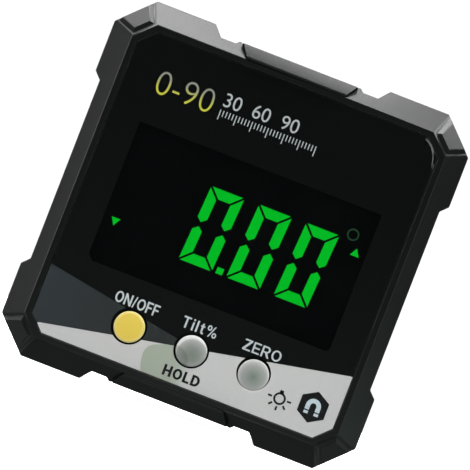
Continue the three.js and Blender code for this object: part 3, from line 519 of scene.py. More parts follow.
def graded_ink(name, axis, stops_mm, roughness=0.55, sheen=0.2):
    """An ink whose colour changes along an axis: a list of (place in millimetres, hex colour)."""
    material, tree, place = start_material(name)
    along = add_node(tree, "ShaderNodeSeparateXYZ", inputs={0: place}).outputs[axis]
    mottle = add_node(tree, "ShaderNodeTexNoise", inputs={
        "Vector": place, "Scale": per_metre(INK_MESH_MM), "Detail": 1.0,
    }).outputs["Fac"]
    first, last = stops_mm[0][0], stops_mm[-1][0]
    even = add_node(tree, "ShaderNodeMapRange", inputs={
        "Value": along, "From Min": first * MM, "From Max": last * MM,
        "To Min": -UNEVENNESS / 2, "To Max": 1 - UNEVENNESS / 2,
    }).outputs["Result"]
    share = add_node(tree, "ShaderNodeMath", {"operation": "MULTIPLY_ADD"}, {
        0: mottle, 1: UNEVENNESS, 2: even,
    }).outputs[0]
    stops = [((x - first) / (last - first), colour) for x, colour in stops_mm]
    colour = add_node(tree, "ShaderNodeValToRGB", inputs={"Fac": share}, stops=stops).outputs["Color"]
    return finish_material(material, {
        "Base Color": colour, "Roughness": roughness, "Specular IOR Level": sheen,
    })


# Painted light: the ground's black is painted lighter towards the bottom, as light from below.
black_ground_with_painted_low_light = graded_ink("black_ground_ink_with_painted_low_light", "Z", [
    (4, "#111312"), (18, "#101211"), (30, "#0d0f0e"), (44, "#0a0c0b"), (56, "#0a0b0b"),
], 0.6, 0.02)
finish_node("graphic_film", black_ground_with_painted_low_light, 0.0)
film_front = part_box("graphic_film")[0].y / MM
window_back = window_high.y / MM
print("room for inks:", round(film_front - window_back, 3), "mm")

# %% [markdown]
# Each printed shape is a thin closed solid that lies between the window and the film. An outline is a
# list of points in millimetres, as the reader sees them, and a layer says how close to the window the
# ink lies: the lettering is printed first, and the large areas cover it from behind.

# %% Thin solids
def arc(x, z, radius, start, end, steps):
    """Points on an arc, with its angles in degrees."""
    turns = [math.radians(start + (end - start) * i / steps) for i in range(steps + 1)]
    return [(x + radius * math.cos(t), z + radius * math.sin(t)) for t in turns]


def circle(x, z, radius, sides=96):
    """Points all round, the first one not repeated."""
    return arc(x, z, radius, 0, 360, sides)[:-1]


def closed_mesh(name, solid):
    """Makes a mesh of finished faces, turned to face outwards."""
    bmesh.ops.recalc_face_normals(solid, faces=solid.faces)
    mesh = bpy.data.meshes.new(name)
    solid.to_mesh(mesh)
    solid.free()
    return mesh


def slab_mesh(name, outlines, front, back):
    """Closed slabs between two places along Y. Outlines hold (x, z) points in millimetres."""
    solid = bmesh.new()
    for outline in outlines:
        near = [solid.verts.new((x * MM, front * MM, z * MM)) for x, z in outline]
        far = [solid.verts.new((x * MM, back * MM, z * MM)) for x, z in outline]
        solid.faces.new(near)
        solid.faces.new(far[::-1])
        for i in range(len(outline)):
            j = (i + 1) % len(outline)
            solid.faces.new((near[j], near[i], far[i], far[j]))
    return closed_mesh(name, solid)


def turned_mesh(name, loop, x, z, sides, closed=False):
    """A body turned about an axis along Y. The loop holds (radius, y) points in millimetres."""
    solid = bmesh.new()
    rings = []
    for radius, y in loop:
        points = circle(x, z, radius, sides if radius else 1)
        rings.append([solid.verts.new((px * MM, y * MM, pz * MM)) for px, pz in points])
    for near, far in zip(rings, rings[1:] + rings[:1] if closed else rings[1:]):
        for i in range(sides):
            j = (i + 1) % sides
            if len(near) == 1:
                solid.faces.new((near[0], far[j], far[i]))
            elif len(far) == 1:
                solid.faces.new((near[i], near[j], far[0]))
            else:
                solid.faces.new((near[i], near[j], far[j], far[i]))
    return closed_mesh(name, solid)


def ring_mesh(name, x, z, outer, inner, front, back, sides=48):
    """A closed flat ring between two places along Y."""
    loop = [(outer, front), (inner, front), (inner, back), (outer, back)]
    return turned_mesh(name, loop, x, z, sides, closed=True)


print("a full circle has", len(circle(0, 0, 1)), "points")

# %% [markdown]
# The keys stand in round holes, and no ink may reach into them. A boolean cuts the printed areas there.
# It is more exact at a large size, so the areas are cut a thousand times as large and then shrunk.

# %% Printing
INK_THICKNESS, INK_PITCH, INK_START = 0.008, 0.010, 0.004
KEYS = ("power", "units", "zero")
KEY_HOLE_RADIUS = 2.505


def layer_span(layer):
    """The front and the back of an ink layer, counted from the window towards the film."""
    front = window_back + INK_START + layer * INK_PITCH
    return front, front + INK_THICKNESS


def key_centre(key):
    """Middle of a key, as (x, z) in millimetres."""
    low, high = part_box(f"{key}_button")
    return (low.x + high.x) / 2 / MM, (low.z + high.z) / 2 / MM


def add_piece(name, mesh, material, body):
    """Makes a mesh into a piece that rides on a body and takes its finish from a slot."""
    piece = new_object(name, mesh)
    mesh.materials.append(material)
    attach(piece, body)
    return piece


def large_slab(name, outlines, front, back):
    """A slab at a thousand times the size, as an object. Its depths are in metres."""
    large = [[(x / MM, z / MM) for x, z in outline] for outline in outlines]
    return new_object(name, slab_mesh(name, large, front / MM, back / MM))


def cut_for_keys(name, outlines, front, back):
    """Slabs with a round hole around each key."""
    big = large_slab(name, outlines, 0, 1)
    cutters = [large_slab("cutter", [circle(*key_centre(key), KEY_HOLE_RADIUS)], -1, 2) for key in KEYS]
    for cutter in cutters:
        cut = big.modifiers.new("key_hole", "BOOLEAN")
        cut.object = cutter
        cut.operation = "DIFFERENCE"
        cut.solver = "EXACT"
    graph = bpy.context.evaluated_depsgraph_get()
    mesh = bpy.data.meshes.new_from_object(big.evaluated_get(graph))
    for v in mesh.vertices:
        y = front if v.co.y < 0.5 else back
        v.co = Vector((v.co.x * MM, y * MM, v.co.z * MM))
    for extra in (big, *cutters):
        bpy.data.objects.remove(extra)
    return mesh


def print_shape(name, outlines, ink, layer, around_keys=False):
    """Prints shapes in one ink, kept clear of the keys where they would run under them."""
    make = cut_for_keys if around_keys else slab_mesh
    mesh = make(name, outlines, *layer_span(layer))
    return add_piece(name, mesh, ink, "housing")


print("ink layers:", [tuple(round(v, 3) for v in layer_span(i)) for i in range(3)])

# %% [markdown]
# The plates are glued into dovetailed pockets, which leaves a narrow gap at both ends of each. A bead
# of black adhesive lies in it, a little below the surface, so that no light comes through.

# %% Adhesive beads
PLATE_TAPER, POCKET_GAP = 1.5, 0.15
BEAD_CLEARANCE, BEAD_DEPTH, BEAD_SETBACK = 0.01, 0.1, 1.2
beads = []
for plate, outward in (("top_plate", 1), ("base_plate", -1)):
    low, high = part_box(plate)
    outer, inner = (high.z, low.z) if outward > 0 else (low.z, high.z)
    outer, inner, half = outer / MM, inner / MM, high.x / MM
    surface = outer - outward * BEAD_DEPTH
    shrink = PLATE_TAPER * BEAD_DEPTH / abs(outer - inner)
    wide = POCKET_GAP - BEAD_CLEARANCE
    section = [
        (half - PLATE_TAPER + BEAD_CLEARANCE, inner), (half - shrink + BEAD_CLEARANCE, surface),
        (half - shrink + wide, surface), (half - PLATE_TAPER + wide, inner),
    ]
    beads += [section, [(-x, z) for x, z in section]]
bead_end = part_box("top_plate")[1].y / MM - BEAD_SETBACK
bead_mesh = slab_mesh("plate_adhesive", beads, -bead_end, bead_end)
adhesive = screen_ink("black_cured_adhesive", "#060606", "#0a0a0a", 0.6, 0.3)
add_piece("plate_adhesive", bead_mesh, adhesive, "housing")
print("beads:", len(beads))

# %% [markdown]
# The lower part of the print has a silver-grey field under a line that climbs to the right, and a slate
# wedge that comes down from the left to meet it. A pale green patch lies under the middle key. All of
# them stop at the edge of the window, whose corners are cut.

# %% Printed fields
field_low, field_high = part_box("graphic_film")
LEFT, RIGHT = field_low.x / MM, field_high.x / MM
LOW, HIGH = field_low.z / MM, field_high.z / MM
CORNER_CUT, LINE_START_SHARE = 2.5, 0.55
LINE_LEFT = (-23.9, 6.0)
LINE_RIGHT = (RIGHT, 15.85)
LINE_SLOPE = (LINE_RIGHT[1] - LINE_LEFT[1]) / (LINE_RIGHT[0] - LINE_LEFT[0])
WEDGE_TOP, WEDGE_END = 15.35, 0.7


def on_line(x):
    """The point of the climbing line at a place across the print."""
    return x, LINE_LEFT[1] + (x - LINE_LEFT[0]) * LINE_SLOPE


line_start = on_line(LEFT + CORNER_CUT * LINE_START_SHARE)
silver_ink = screen_ink("silver_grey_ink", "#c2c1c1", "#c9c8c8")
slate_ink = graded_ink("fading_slate_ink", "X", [
    (LEFT, "#2e3437"), (-17, "#2b2f31"), (WEDGE_END, "#282c2b"),
])
print_shape("silver_field", [[
    line_start, (LEFT + CORNER_CUT, LOW), (RIGHT - CORNER_CUT, LOW), (RIGHT, LOW + CORNER_CUT),
    on_line(RIGHT),
]], silver_ink, 2, True)
print_shape("slate_wedge", [[
    (LEFT, LOW + CORNER_CUT), line_start, on_line(WEDGE_END), (LEFT, WEDGE_TOP),
]], slate_ink, 2, True)
print("line climbs", round(LINE_SLOPE, 3))

# %% [markdown]
# The green patch is a rounded shape that follows the climbing line and fades out to its right. That is
# a colour that changes over the surface, so it is mixed by the place along X: the tint's green at the
# left, the field's silver where the patch ends.

# %% Fading patch
PATCH_LEFT, PATCH_RIGHT, PATCH_FOOT = -6.85, 0.7, -6.15
PATCH_LEFT_ROUND, PATCH_RIGHT_ROUND = (-4.6, 7.3, 2.25), (-2.2, 7.9, 2.6)
PATCH_LEFT_TURN, PATCH_RIGHT_TURN = (98, 180, 12), (0, 70, 12)
PATCH_LINE_RIGHT, PATCH_LINE_LEFT, PATCH_WAIST = -3.0, -4.3, (-6.6, 5.8)
patch_ink = graded_ink("fading_green_ink", "X", [
    (PATCH_LEFT, "#a3ab9d"), (-1.5, "#a4ac9f"), (0.1, "#b4bab1"), (PATCH_RIGHT, "#c4c6c3"),
])
print_shape("green_patch", [[
    (PATCH_FOOT, LOW), (PATCH_RIGHT, LOW), *arc(*PATCH_RIGHT_ROUND, *PATCH_RIGHT_TURN),
    on_line(PATCH_LINE_RIGHT), on_line(PATCH_LINE_LEFT), *arc(*PATCH_LEFT_ROUND, *PATCH_LEFT_TURN),
    PATCH_WAIST,
]], patch_ink, 1, True)
print("patch is", PATCH_RIGHT - PATCH_LEFT, "mm wide")

# %% [markdown]
# A deep black ring is painted round each key as a painted shadow of the gap round the cap. It is set a
# little up and to the left, so it shows as a crescent of shade there and vanishes where it runs under
# the key.

# %% Painted shadows round the keys
# Painted shadow: each ring's radius and its shift right and up give a dark crescent of shade round the cap.
key_shadow_ink = screen_ink("painted_key_shadow_ink", "#030404", "#060707", 0.6, 0.02)
KEY_SHADOW_RINGS = {"power": (2.90, -0.09, 0.09), "units": (2.84, -0.05, 0.06), "zero": (2.74, -0.06, 0.24)}
rings = []
for key, (radius, right, up) in KEY_SHADOW_RINGS.items():
    x, z = key_centre(key)
    rings.append(circle(x + right, z + up, radius))
print_shape("key_rings", rings, key_shadow_ink, 0, True)
print("rings round", list(KEY_SHADOW_RINGS))

# %% [markdown]
# The film's own black cuts off the two lower corners of the display. A fine grey line runs along the
# edge of the window as a painted highlight of its polished edge, with a brighter painted glint in one
# corner, where that edge gathers the light.

# %% Corners and edge lines
DISPLAY_LEFT, DISPLAY_RIGHT, DISPLAY_LOW = -20.45, 20.45, 18.1
LEFT_CORNER, RIGHT_CORNER = 0.9, 0.5
EDGE_INSET, EDGE_WIDTH, EDGE_FOOT_GAP = 0.02, 0.14, 1.0
CORNER_GLEAM, GLEAM_WIDTH, GLEAM_FOOT = (21.0, 51.4, 3.98), 0.10, (25.15, 50.9)
GLEAM_START, GLEAM_END = 8, 66
print_shape("display_corners", [
    [(x, DISPLAY_LOW), (x + across, DISPLAY_LOW), (x, DISPLAY_LOW + abs(across))]
    for x, across in ((DISPLAY_LEFT, LEFT_CORNER), (DISPLAY_RIGHT, -RIGHT_CORNER))
], black_ground_with_painted_low_light, 1)


def edge_path(inset):
    """The edge of the window from its left side over the top to its right side, moved inwards."""
    foot, cut = on_line(RIGHT)[1] + EDGE_FOOT_GAP, CORNER_CUT + inset * (math.sqrt(2) - 1)
    left_half = [(LEFT + inset, foot), (LEFT + inset, HIGH - cut), (LEFT + cut, HIGH - inset)]
    return left_half + [(-x, z) for x, z in left_half[::-1]]


# Painted highlight: a grey line along the window's edge stands in for light caught by its polished edge.
outer, inner = edge_path(EDGE_INSET), edge_path(EDGE_INSET + EDGE_WIDTH)
edge_highlight_ink = screen_ink("grey_painted_edge_highlight", "#26292a", "#3a3e40")
print_shape("edge_line", [
    [inner[i], inner[i + 1], outer[i + 1], outer[i]] for i in range(len(outer) - 1)
], edge_highlight_ink, 0)
# Painted glint: a paler arc where the polished edge turns in the upper right corner.
painted_glint_ink = screen_ink("pale_painted_corner_glint", "#606162", "#7e7f80")
gleam_low = (CORNER_GLEAM[0] - GLEAM_WIDTH, CORNER_GLEAM[1] - GLEAM_WIDTH, CORNER_GLEAM[2])
print_shape("corner_gleam", [[
    GLEAM_FOOT, *arc(*CORNER_GLEAM, GLEAM_START, GLEAM_END, 24),
    *arc(*gleam_low, GLEAM_END, GLEAM_START, 24),
]], painted_glint_ink, 1)
print("edge line has", len(outer) - 1, "stretches")

# %% [markdown]
# ## Lettering
# Text is a flat curve in Blender: it is filled, given a thickness and turned into a mesh, then
# stretched to the width and height that it has on the print. The built-in typeface serves for the
# figures, but it is too soft and too light for the keys' plain words.

# %% Curves to prints
WELD_SHARE = 1e-5


def print_curve(curve, low, high, ink):
    """Prints a filled curve between two corners (x, z) of the film, in millimetres."""
    curve.extrude = 0.5
    name = curve.name
    holder = new_object(name, curve)
    graph = bpy.context.evaluated_depsgraph_get()
    mesh = bpy.data.meshes.new_from_object(holder.evaluated_get(graph))
    bpy.data.objects.remove(holder)
    bpy.data.curves.remove(curve)
    solid = bmesh.new()
    solid.from_mesh(mesh)
    bmesh.ops.remove_doubles(solid, verts=solid.verts, dist=WELD_SHARE)
    xs = [v.co.x for v in solid.verts]
    ys = [v.co.y for v in solid.verts]
    left, bottom = min(xs), min(ys)
    wide = (high[0] - low[0]) / (max(xs) - left)
    tall = (high[1] - low[1]) / (max(ys) - bottom)
    front, back = layer_span(0)
    for v in solid.verts:
        x = low[0] + (v.co.x - left) * wide
        z = low[1] + (v.co.y - bottom) * tall
        v.co = Vector((x, front if v.co.z > 0 else back, z)) * MM
    solid.to_mesh(mesh)
    solid.free()
    return add_piece(name, mesh, ink, "housing")


def print_figures(name, text, low, high, ink, weight=0.0):
    """Prints figures in the built-in typeface. The weight moves their outline out or in."""
    curve = bpy.data.curves.new(name, "FONT")
    curve.body = text
    curve.offset = weight
    curve.resolution_u = 6
    return print_curve(curve, low, high, ink)


print("figures: built-in typeface")

# %% [markdown]
# The few letters of the keys' words are drawn in a bold plain style. Each is a list of outlines
# in shares of its height. Straight strokes are points, round ones are ovals, and an outline inside
# another one is a hole. The width of the stroke is a value, so that HOLD can be bolder than the rest.

# %% Bold letters
def oval(x, z, wide, tall, start=0, end=360, steps=28):
    """Points on an upright oval, with its angles in degrees."""
    return [(x + wide * px, z + tall * pz) for px, pz in arc(0, 0, 1, start, end, steps)]


def letters(s):
    """Widths and outlines of the letters in use, one unit tall, for strokes s wide."""
    b = s * 0.92
    return {
        "O": (0.80, [oval(0.40, 0.5, 0.40, 0.5)[:-1], oval(0.40, 0.5, 0.40 - s, 0.5 - b)[:-1]]),
        "N": (0.74, [[
            (0, 0), (s, 0), (s, 0.67), (0.74 - s, 0), (0.74, 0), (0.74, 1), (0.74 - s, 1), (0.74 - s, 0.33),
            (s, 1), (0, 1),
        ]]),
        "/": (0.34, [[(0, 0), (0.13, 0), (0.34, 1), (0.21, 1)]]),
        "F": (0.58, [[
            (0, 0), (s, 0), (s, 0.42), (0.53, 0.42), (0.53, 0.42 + b), (s, 0.42 + b), (s, 1 - b),
            (0.58, 1 - b), (0.58, 1), (0, 1),
        ]]),
        "T": (0.66, [[
            (0.33 - s / 2, 0), (0.33 + s / 2, 0), (0.33 + s / 2, 1 - b), (0.66, 1 - b), (0.66, 1), (0, 1),
            (0, 1 - b), (0.33 - s / 2, 1 - b),
        ]]),
        "i": (s, [[(0, 0), (s, 0), (s, 0.72), (0, 0.72)], [(0, 0.84), (s, 0.84), (s, 1), (0, 1)]]),
        "l": (s, [[(0, 0), (s, 0), (s, 1), (0, 1)]]),
        "t": (0.38, [[
            (0, 0.60), (0.10, 0.60), *oval(0.27, 0.16, 0.17, 0.16, 180, 270, 6), (0.38, 0.01), (0.38, 0.15),
            (0.31, 0.15), (0.10 + s, 0.20), (0.10 + s, 0.60), (0.38, 0.60), (0.38, 0.72), (0.10 + s, 0.72),
            (0.10 + s, 0.94), (0.10, 0.88), (0.10, 0.72), (0, 0.72),
        ]]),
        "%": (0.92, [
            [(0.20, 0), (0.31, 0), (0.72, 1), (0.61, 1)],
            oval(0.20, 0.76, 0.20, 0.24)[:-1], oval(0.20, 0.76, 0.08, 0.12)[:-1],
            oval(0.72, 0.24, 0.20, 0.24)[:-1], oval(0.72, 0.24, 0.08, 0.12)[:-1],
        ]),
        "Z": (0.66, [[
            (0, 0), (0.66, 0), (0.66, b), (s * 1.4, b), (0.66, 1 - b), (0.66, 1), (0.03, 1), (0.03, 1 - b),
            (0.66 - s * 1.4, 1 - b), (0, b),
        ]]),
        "E": (0.62, [[
            (0, 0), (0.62, 0), (0.62, b), (s, b), (s, 0.43), (0.57, 0.43), (0.57, 0.43 + b), (s, 0.43 + b),
            (s, 1 - b), (0.61, 1 - b), (0.61, 1), (0, 1),
        ]]),
        "R": (0.72, [
            [(0, 0), (s, 0), (s, 0.40), (0.31, 0.40), (0.53, 0), (0.72, 0), (0.49, 0.43),
             *oval(0.40, 0.71, 0.28, 0.29, -60, 90, 12), (0, 1)],
            [*oval(0.38, 0.70 - 0.04 * b, 0.30 - s, 0.30 - 0.96 * b, -90, 90, 10), (s, 1 - b),
             (s, 0.40 + 0.92 * b)],
        ]),
        "H": (0.74, [[
            (0, 0), (s, 0), (s, 0.5 - b / 2), (0.74 - s, 0.5 - b / 2), (0.74 - s, 0), (0.74, 0), (0.74, 1),
            (0.74 - s, 1), (0.74 - s, 0.5 + b / 2), (s, 0.5 + b / 2), (s, 1), (0, 1),
        ]]),
        "L": (0.58, [[(0, 0), (0.58, 0), (0.58, b), (s, b), (s, 1), (0, 1)]]),
        "D": (0.74, [
            [*oval(0.32, 0.5, 0.42, 0.5, -90, 90, 16), (0, 1), (0, 0)],
            [*oval(0.31, 0.5, 0.43 - s, 0.5 - b, -90, 90, 14), (s, 1 - b), (s, b)],
        ]),
    }


def print_letters(name, text, low, high, ink, stroke, gap):
    """Prints a word in the bold letters between two corners of the film."""
    curve = bpy.data.curves.new(name, "CURVE")
    curve.dimensions = "2D"
    curve.fill_mode = "BOTH"
    drawn, left = letters(stroke), 0.0
    for letter in text:
        width, outlines = drawn[letter]
        for outline in outlines:
            spline = curve.splines.new("POLY")
            spline.points.add(len(outline) - 1)
            for point, (x, z) in zip(spline.points, outline):
                point.co = (left + x, z, 0, 1)
            spline.use_cyclic_u = True
        left += width + gap
    return print_curve(curve, low, high, ink)


white_ink = screen_ink("cool_white_ink", "#b9c0c4", "#c6ccd0")
dark_ink = screen_ink("dark_ink", "#0d0f10", "#121415")
LEGENDS = [
    ("power_legend", "ON/OFF", (-14.1, 13.45), (-6.8, 15.3), white_ink, 0.17, 0.11),
    ("units_legend", "Tilt%", (-2.75, 13.5), (3.0, 15.35), white_ink, 0.16, 0.20),
    ("zero_legend", "ZERO", (7.5, 13.65), (13.8, 15.45), white_ink, 0.15, 0.13),
    ("hold_legend", "HOLD", (-2.9, 5.35), (3.2, 7.1), dark_ink, 0.22, 0.13),
]
for legend in LEGENDS:
    print_letters(*legend)
print("legends:", [legend[1] for legend in LEGENDS])

# %% [markdown]
# Above the display goes a generic scale: large figures whose colour runs from grey at the top to yellow
# at the feet, smaller figures beside them, and a fine ruler of ticks below.

# %% Figures and scale
FIGURE_LOW, FIGURE_HIGH = 46.35, 50.15
figure_ink = graded_ink("grey_to_yellow_ink", "Z", [
    (FIGURE_LOW, "#c6c63c"), (47.68, "#b9b950"), (49.2, "#8f8f80"), (FIGURE_HIGH, "#8a8a82"),
])
title_ink = screen_ink("title_grey_ink", "#a9aeb0", "#b8bdbf")
print_figures("large_figures", "0-90", (-20.2, FIGURE_LOW), (-10.7, FIGURE_HIGH), figure_ink, -0.016)
print_figures("small_figures", "30  60  90", (-9.2, 48.25), (3.3, 50.5), title_ink)
TICK_COUNT, TICK_LONG, TICK_SHORT, TICK_WIDTH = 31, 1.65, 1.0, 0.17
TICK_LEFT, TICK_RIGHT, TICK_TOP = -9.2, 6.9, 47.65
ticks = []
for i in range(TICK_COUNT):
    x = TICK_LEFT + (TICK_RIGHT - TICK_LEFT) * i / (TICK_COUNT - 1)
    foot = TICK_TOP - (TICK_LONG if i % 5 == 0 else TICK_SHORT)
    half = TICK_WIDTH / 2
    ticks.append([(x - half, foot), (x + half, foot), (x + half, TICK_TOP), (x - half, TICK_TOP)])
print_shape("scale_ticks", ticks, title_ink, 0)
print("ticks:", len(ticks))

# %% [markdown]
# Two small signs stand at the lower right: a lamp for the backlight, and a magnet in a hexagon for the
# magnetic faces. Both are drawn from arcs and bars, as such signs usually are.

# %% Signs
LAMP, LAMP_OUTER, LAMP_INNER = (15.88, 8.47), 1.0, 0.68
CAP_HALF, CAP_LOW, CAP_HIGH, CAP_TAPER = 0.36, 0.82, 1.38, 0.8
RAY_START, RAY_END, RAY_WIDTH = 1.27, 1.95, 0.30
lamp_ring = ring_mesh("lamp_sign_ring", *LAMP, LAMP_OUTER, LAMP_INNER, *layer_span(0))
add_piece("lamp_sign_ring", lamp_ring, dark_ink, "housing")


def bar(x, z, degrees, near, far, width):
    """A bar that runs out from a point at an angle, between two distances."""
    along = Vector((math.cos(math.radians(degrees)), math.sin(math.radians(degrees))))
    side = Vector((-along.y, along.x)) * width / 2
    ends = [along * near - side, along * far - side, along * far + side, along * near + side]
    return [(x + p.x, z + p.y) for p in ends]


rays = [bar(*LAMP, turn, RAY_START, RAY_END, RAY_WIDTH) for turn in (0, 180, 225, 270, 315)]
cap = [(LAMP[0] + x, LAMP[1] + z) for x, z in (
    (-CAP_HALF, CAP_LOW), (CAP_HALF, CAP_LOW),
    (CAP_HALF * CAP_TAPER, CAP_HIGH), (-CAP_HALF * CAP_TAPER, CAP_HIGH),
)]
print_shape("lamp_sign_rays", [*rays, cap], dark_ink, 0)

HEXAGON, HEXAGON_RADIUS, MAGNET_RISE = (21.3, 9.13), 2.6, 0.12
MAGNET_OUTER, MAGNET_INNER, MAGNET_LEG, MAGNET_GAP, MAGNET_TIP = 1.22, 0.5, 0.75, 0.2, 0.45
print_shape("magnet_sign_ground", [arc(*HEXAGON, HEXAGON_RADIUS, 90, 450, 6)[:-1]], dark_ink, 1)
mx, mz = HEXAGON[0], HEXAGON[1] + MAGNET_RISE
leg_foot = mz - MAGNET_LEG
bow = [
    *arc(mx, mz, MAGNET_OUTER, 0, 180, 20), (mx - MAGNET_OUTER, leg_foot), (mx - MAGNET_INNER, leg_foot),
    *arc(mx, mz, MAGNET_INNER, 180, 0, 14), (mx + MAGNET_INNER, leg_foot), (mx + MAGNET_OUTER, leg_foot),
]
tip_top = leg_foot - MAGNET_GAP
tips = [[
    (mx + side * across, height) for across, height in (
        (MAGNET_INNER, tip_top - MAGNET_TIP), (MAGNET_OUTER, tip_top - MAGNET_TIP),
        (MAGNET_OUTER, tip_top), (MAGNET_INNER, tip_top),
    )
] for side in (-1, 1)]
pale_blue_ink = screen_ink("pale_blue_ink", "#b9c8d0", "#c6d3da")
print_shape("magnet_sign", [bow, *tips], pale_blue_ink, 0)
print("rays of the lamp sign:", len(rays))

# %% [markdown]
# ## Display
# The display is glass with a dark polarising film. Lit segments are openings that the backlight shines
# through, so they glow by themselves. The glass gets a deep, slightly uneven black, and the segments
# are thin solids on it that give off green light.

# %% Display glass
glass_stops = [(0.3, "#020303"), (0.7, "#040505")]
display_glass = grained("polarised_display_glass", 5, 2.0, glass_stops, (0.08, 0.16), {
    "IOR": 1.5, "Coat Weight": 0.2,
})
finish_node("lcd_glass", display_glass, 0.05)
glass_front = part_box("lcd_glass")[0].y / MM
print("glass front at", round(glass_front, 3), "mm")

# %% [markdown]
# A figure of the display has seven segments with mitred corners, and the whole row leans to the right.
# One function draws a nought from its height, width, stroke and gap, and a loop sets three of them.

# %% Lit segments
LIT_THICKNESS, GLOW_GRAIN_MM = 0.03, 0.8
DIGIT_LOW, DIGIT_HEIGHT, DIGIT_WIDTH = 23.28, 12.6, 5.62
DIGIT_STROKE, DIGIT_MITRE, DIGIT_GAP, DIGIT_POINT = 1.62, 0.24, 0.36, 0.66
DIGIT_LEFTS = (-6.98, 1.08, 9.08)
DIGIT_LEAN = math.tan(math.radians(3.3))
lit_span = (glass_front - LIT_THICKNESS, glass_front)


def glowing(name, dark, pale):
    """Light through a dyed display cell: an even glow with a faint grain."""
    material, tree, place = start_material(name)
    grain = add_node(tree, "ShaderNodeTexNoise", inputs={
        "Vector": place, "Scale": per_metre(GLOW_GRAIN_MM), "Detail": 1.0,
    }).outputs["Fac"]
    colour = add_node(tree, "ShaderNodeValToRGB", inputs={"Fac": grain}, stops=[(0.3, dark), (0.7, pale)])
    return finish_material(material, {
        "Base Color": linear("#010201"), "Roughness": 0.5, "Specular IOR Level": 0.0,
        "Emission Color": colour.outputs["Color"], "Emission Strength": 1.0,
    })


def nought():
    """The six lit segments of a nought, upright, with its lower left corner at zero."""
    w, h, s, m = DIGIT_WIDTH, DIGIT_HEIGHT, DIGIT_STROKE, DIGIT_MITRE
    top = [(m, h), (w - m, h), (w - s - m, h - s), (s + m, h - s)]
    half = h / 2 + DIGIT_GAP
    side = [(0, h - m), (s, h - s - m), (s, half + DIGIT_POINT), (s * 0.5, half), (0, half + DIGIT_POINT)]
    upper = [top, side, [(w - x, z) for x, z in side]]
    return upper + [[(x, h - z) for x, z in part] for part in upper]


def leaned(points, left):
    """Sets a drawn shape at its place and leans it as the display's figures lean."""
    return [(left + x + z * DIGIT_LEAN, DIGIT_LOW + z) for x, z in points]


def light_shape(name, outlines):
    """A lit part of the display, lying on its glass."""
    return add_piece(name, slab_mesh(name, outlines, *lit_span), green_glow, "housing")


green_glow = glowing("lit_green_cell", "#02bc24", "#04c228")
for i, left in enumerate(DIGIT_LEFTS, 1):
    light_shape(f"lit_figure_{i}", [leaned(part, left) for part in nought()])
print("figures lean by", round(DIGIT_LEAN, 3))

# %% [markdown]
# The point, the two small arrows and the unlit degree ring complete the display. The ring is a cell that
# is switched off, which still shows as a faint green.

# %% Point, arrows and ring
POINT, POINT_LEFT = [(0, 0), (1.12, 0), (1.12, 1.05), (0, 1.05)], -0.76
RIGHT_ARROW, LEFT_ARROW, ARROW_HALF, ARROW_HEIGHT = (18.75, 33.68), (-18.46, 25.75), 0.74, 1.3
DEGREE_RING = (17.37, 36.78, 0.98, 0.74)
light_shape("lit_point", [leaned(POINT, POINT_LEFT)])
for name, (x, z), height in (
    ("lit_arrow_up", RIGHT_ARROW, ARROW_HEIGHT), ("lit_arrow_down", LEFT_ARROW, -ARROW_HEIGHT),
):
    light_shape(name, [[(x - ARROW_HALF, z), (x + ARROW_HALF, z), (x, z + height)]])
dim_glow = glowing("dim_green_cell", "#1d3a28", "#234430")
degree_ring = ring_mesh("dim_degree_ring", *DEGREE_RING, *lit_span)
add_piece("dim_degree_ring", degree_ring, dim_glow, "housing")

# %% [markdown]
# ## Keys
# The keys are silicone caps: soft, slightly domed, with a rounded shoulder and a hidden flange that
# keeps them behind the wall. The solids in the frame are faceted, so each visible cap is turned anew
# as a smooth body of revolution, a few hundredths of a millimetre smaller all round, which then stands
# for the solid. It throws no shadow, because the print round it is evenly lit.

# %% Turned caps
FLANGE_REACH, FLANGE_THICKNESS, STEM_RADIUS, STEM_LENGTH = 0.6, 0.8, 1.5, 0.25
SHOULDER, CAP_GAP = 0.32, 0.03
DOME_STEPS, CAP_SIDES = 12, 96


def cap_profile(radius, depth, dome_height, front):
    """Radius and place along Y from the middle of the cap outwards, and back to the middle behind."""
    flat = radius - SHOULDER
    dome = [(flat * k / DOME_STEPS, dome_height * (k / DOME_STEPS) ** 2) for k in range(DOME_STEPS)]
    edge = arc(flat, dome_height + SHOULDER, SHOULDER, -90, 0, 9)
    flange_back = depth - STEM_LENGTH
    flange_front = flange_back - FLANGE_THICKNESS
    flange = radius + FLANGE_REACH
    back = [
        (radius, flange_front), (flange, flange_front), (flange, flange_back),
        (STEM_RADIUS, flange_back), (STEM_RADIUS, depth), (0, depth),
    ]
    return [(across, front + behind) for across, behind in dome + edge + back]


print("flange reaches out by", FLANGE_REACH, "mm")

# %% [markdown]
# Silicone rubber lets some light in, which spreads below the surface. Its colour goes paler towards the
# rounded rim, a painted highlight on the shoulder. The colour is mixed by the distance from a point near
# the middle, set a little low on the grey and pale caps so that their upper side is paler: painted
# light from above. The printed patch runs under the middle key and shows through it as a darker round,
# so a second distance, from the middle of that round, darkens the grey cap.

# %% Silicone
SILICONE_GRAIN_MM, SILICONE_DEPTH_MM, SCATTER_MM = 0.3, 0.004, 0.6
SHADE_BLUR = 0.15


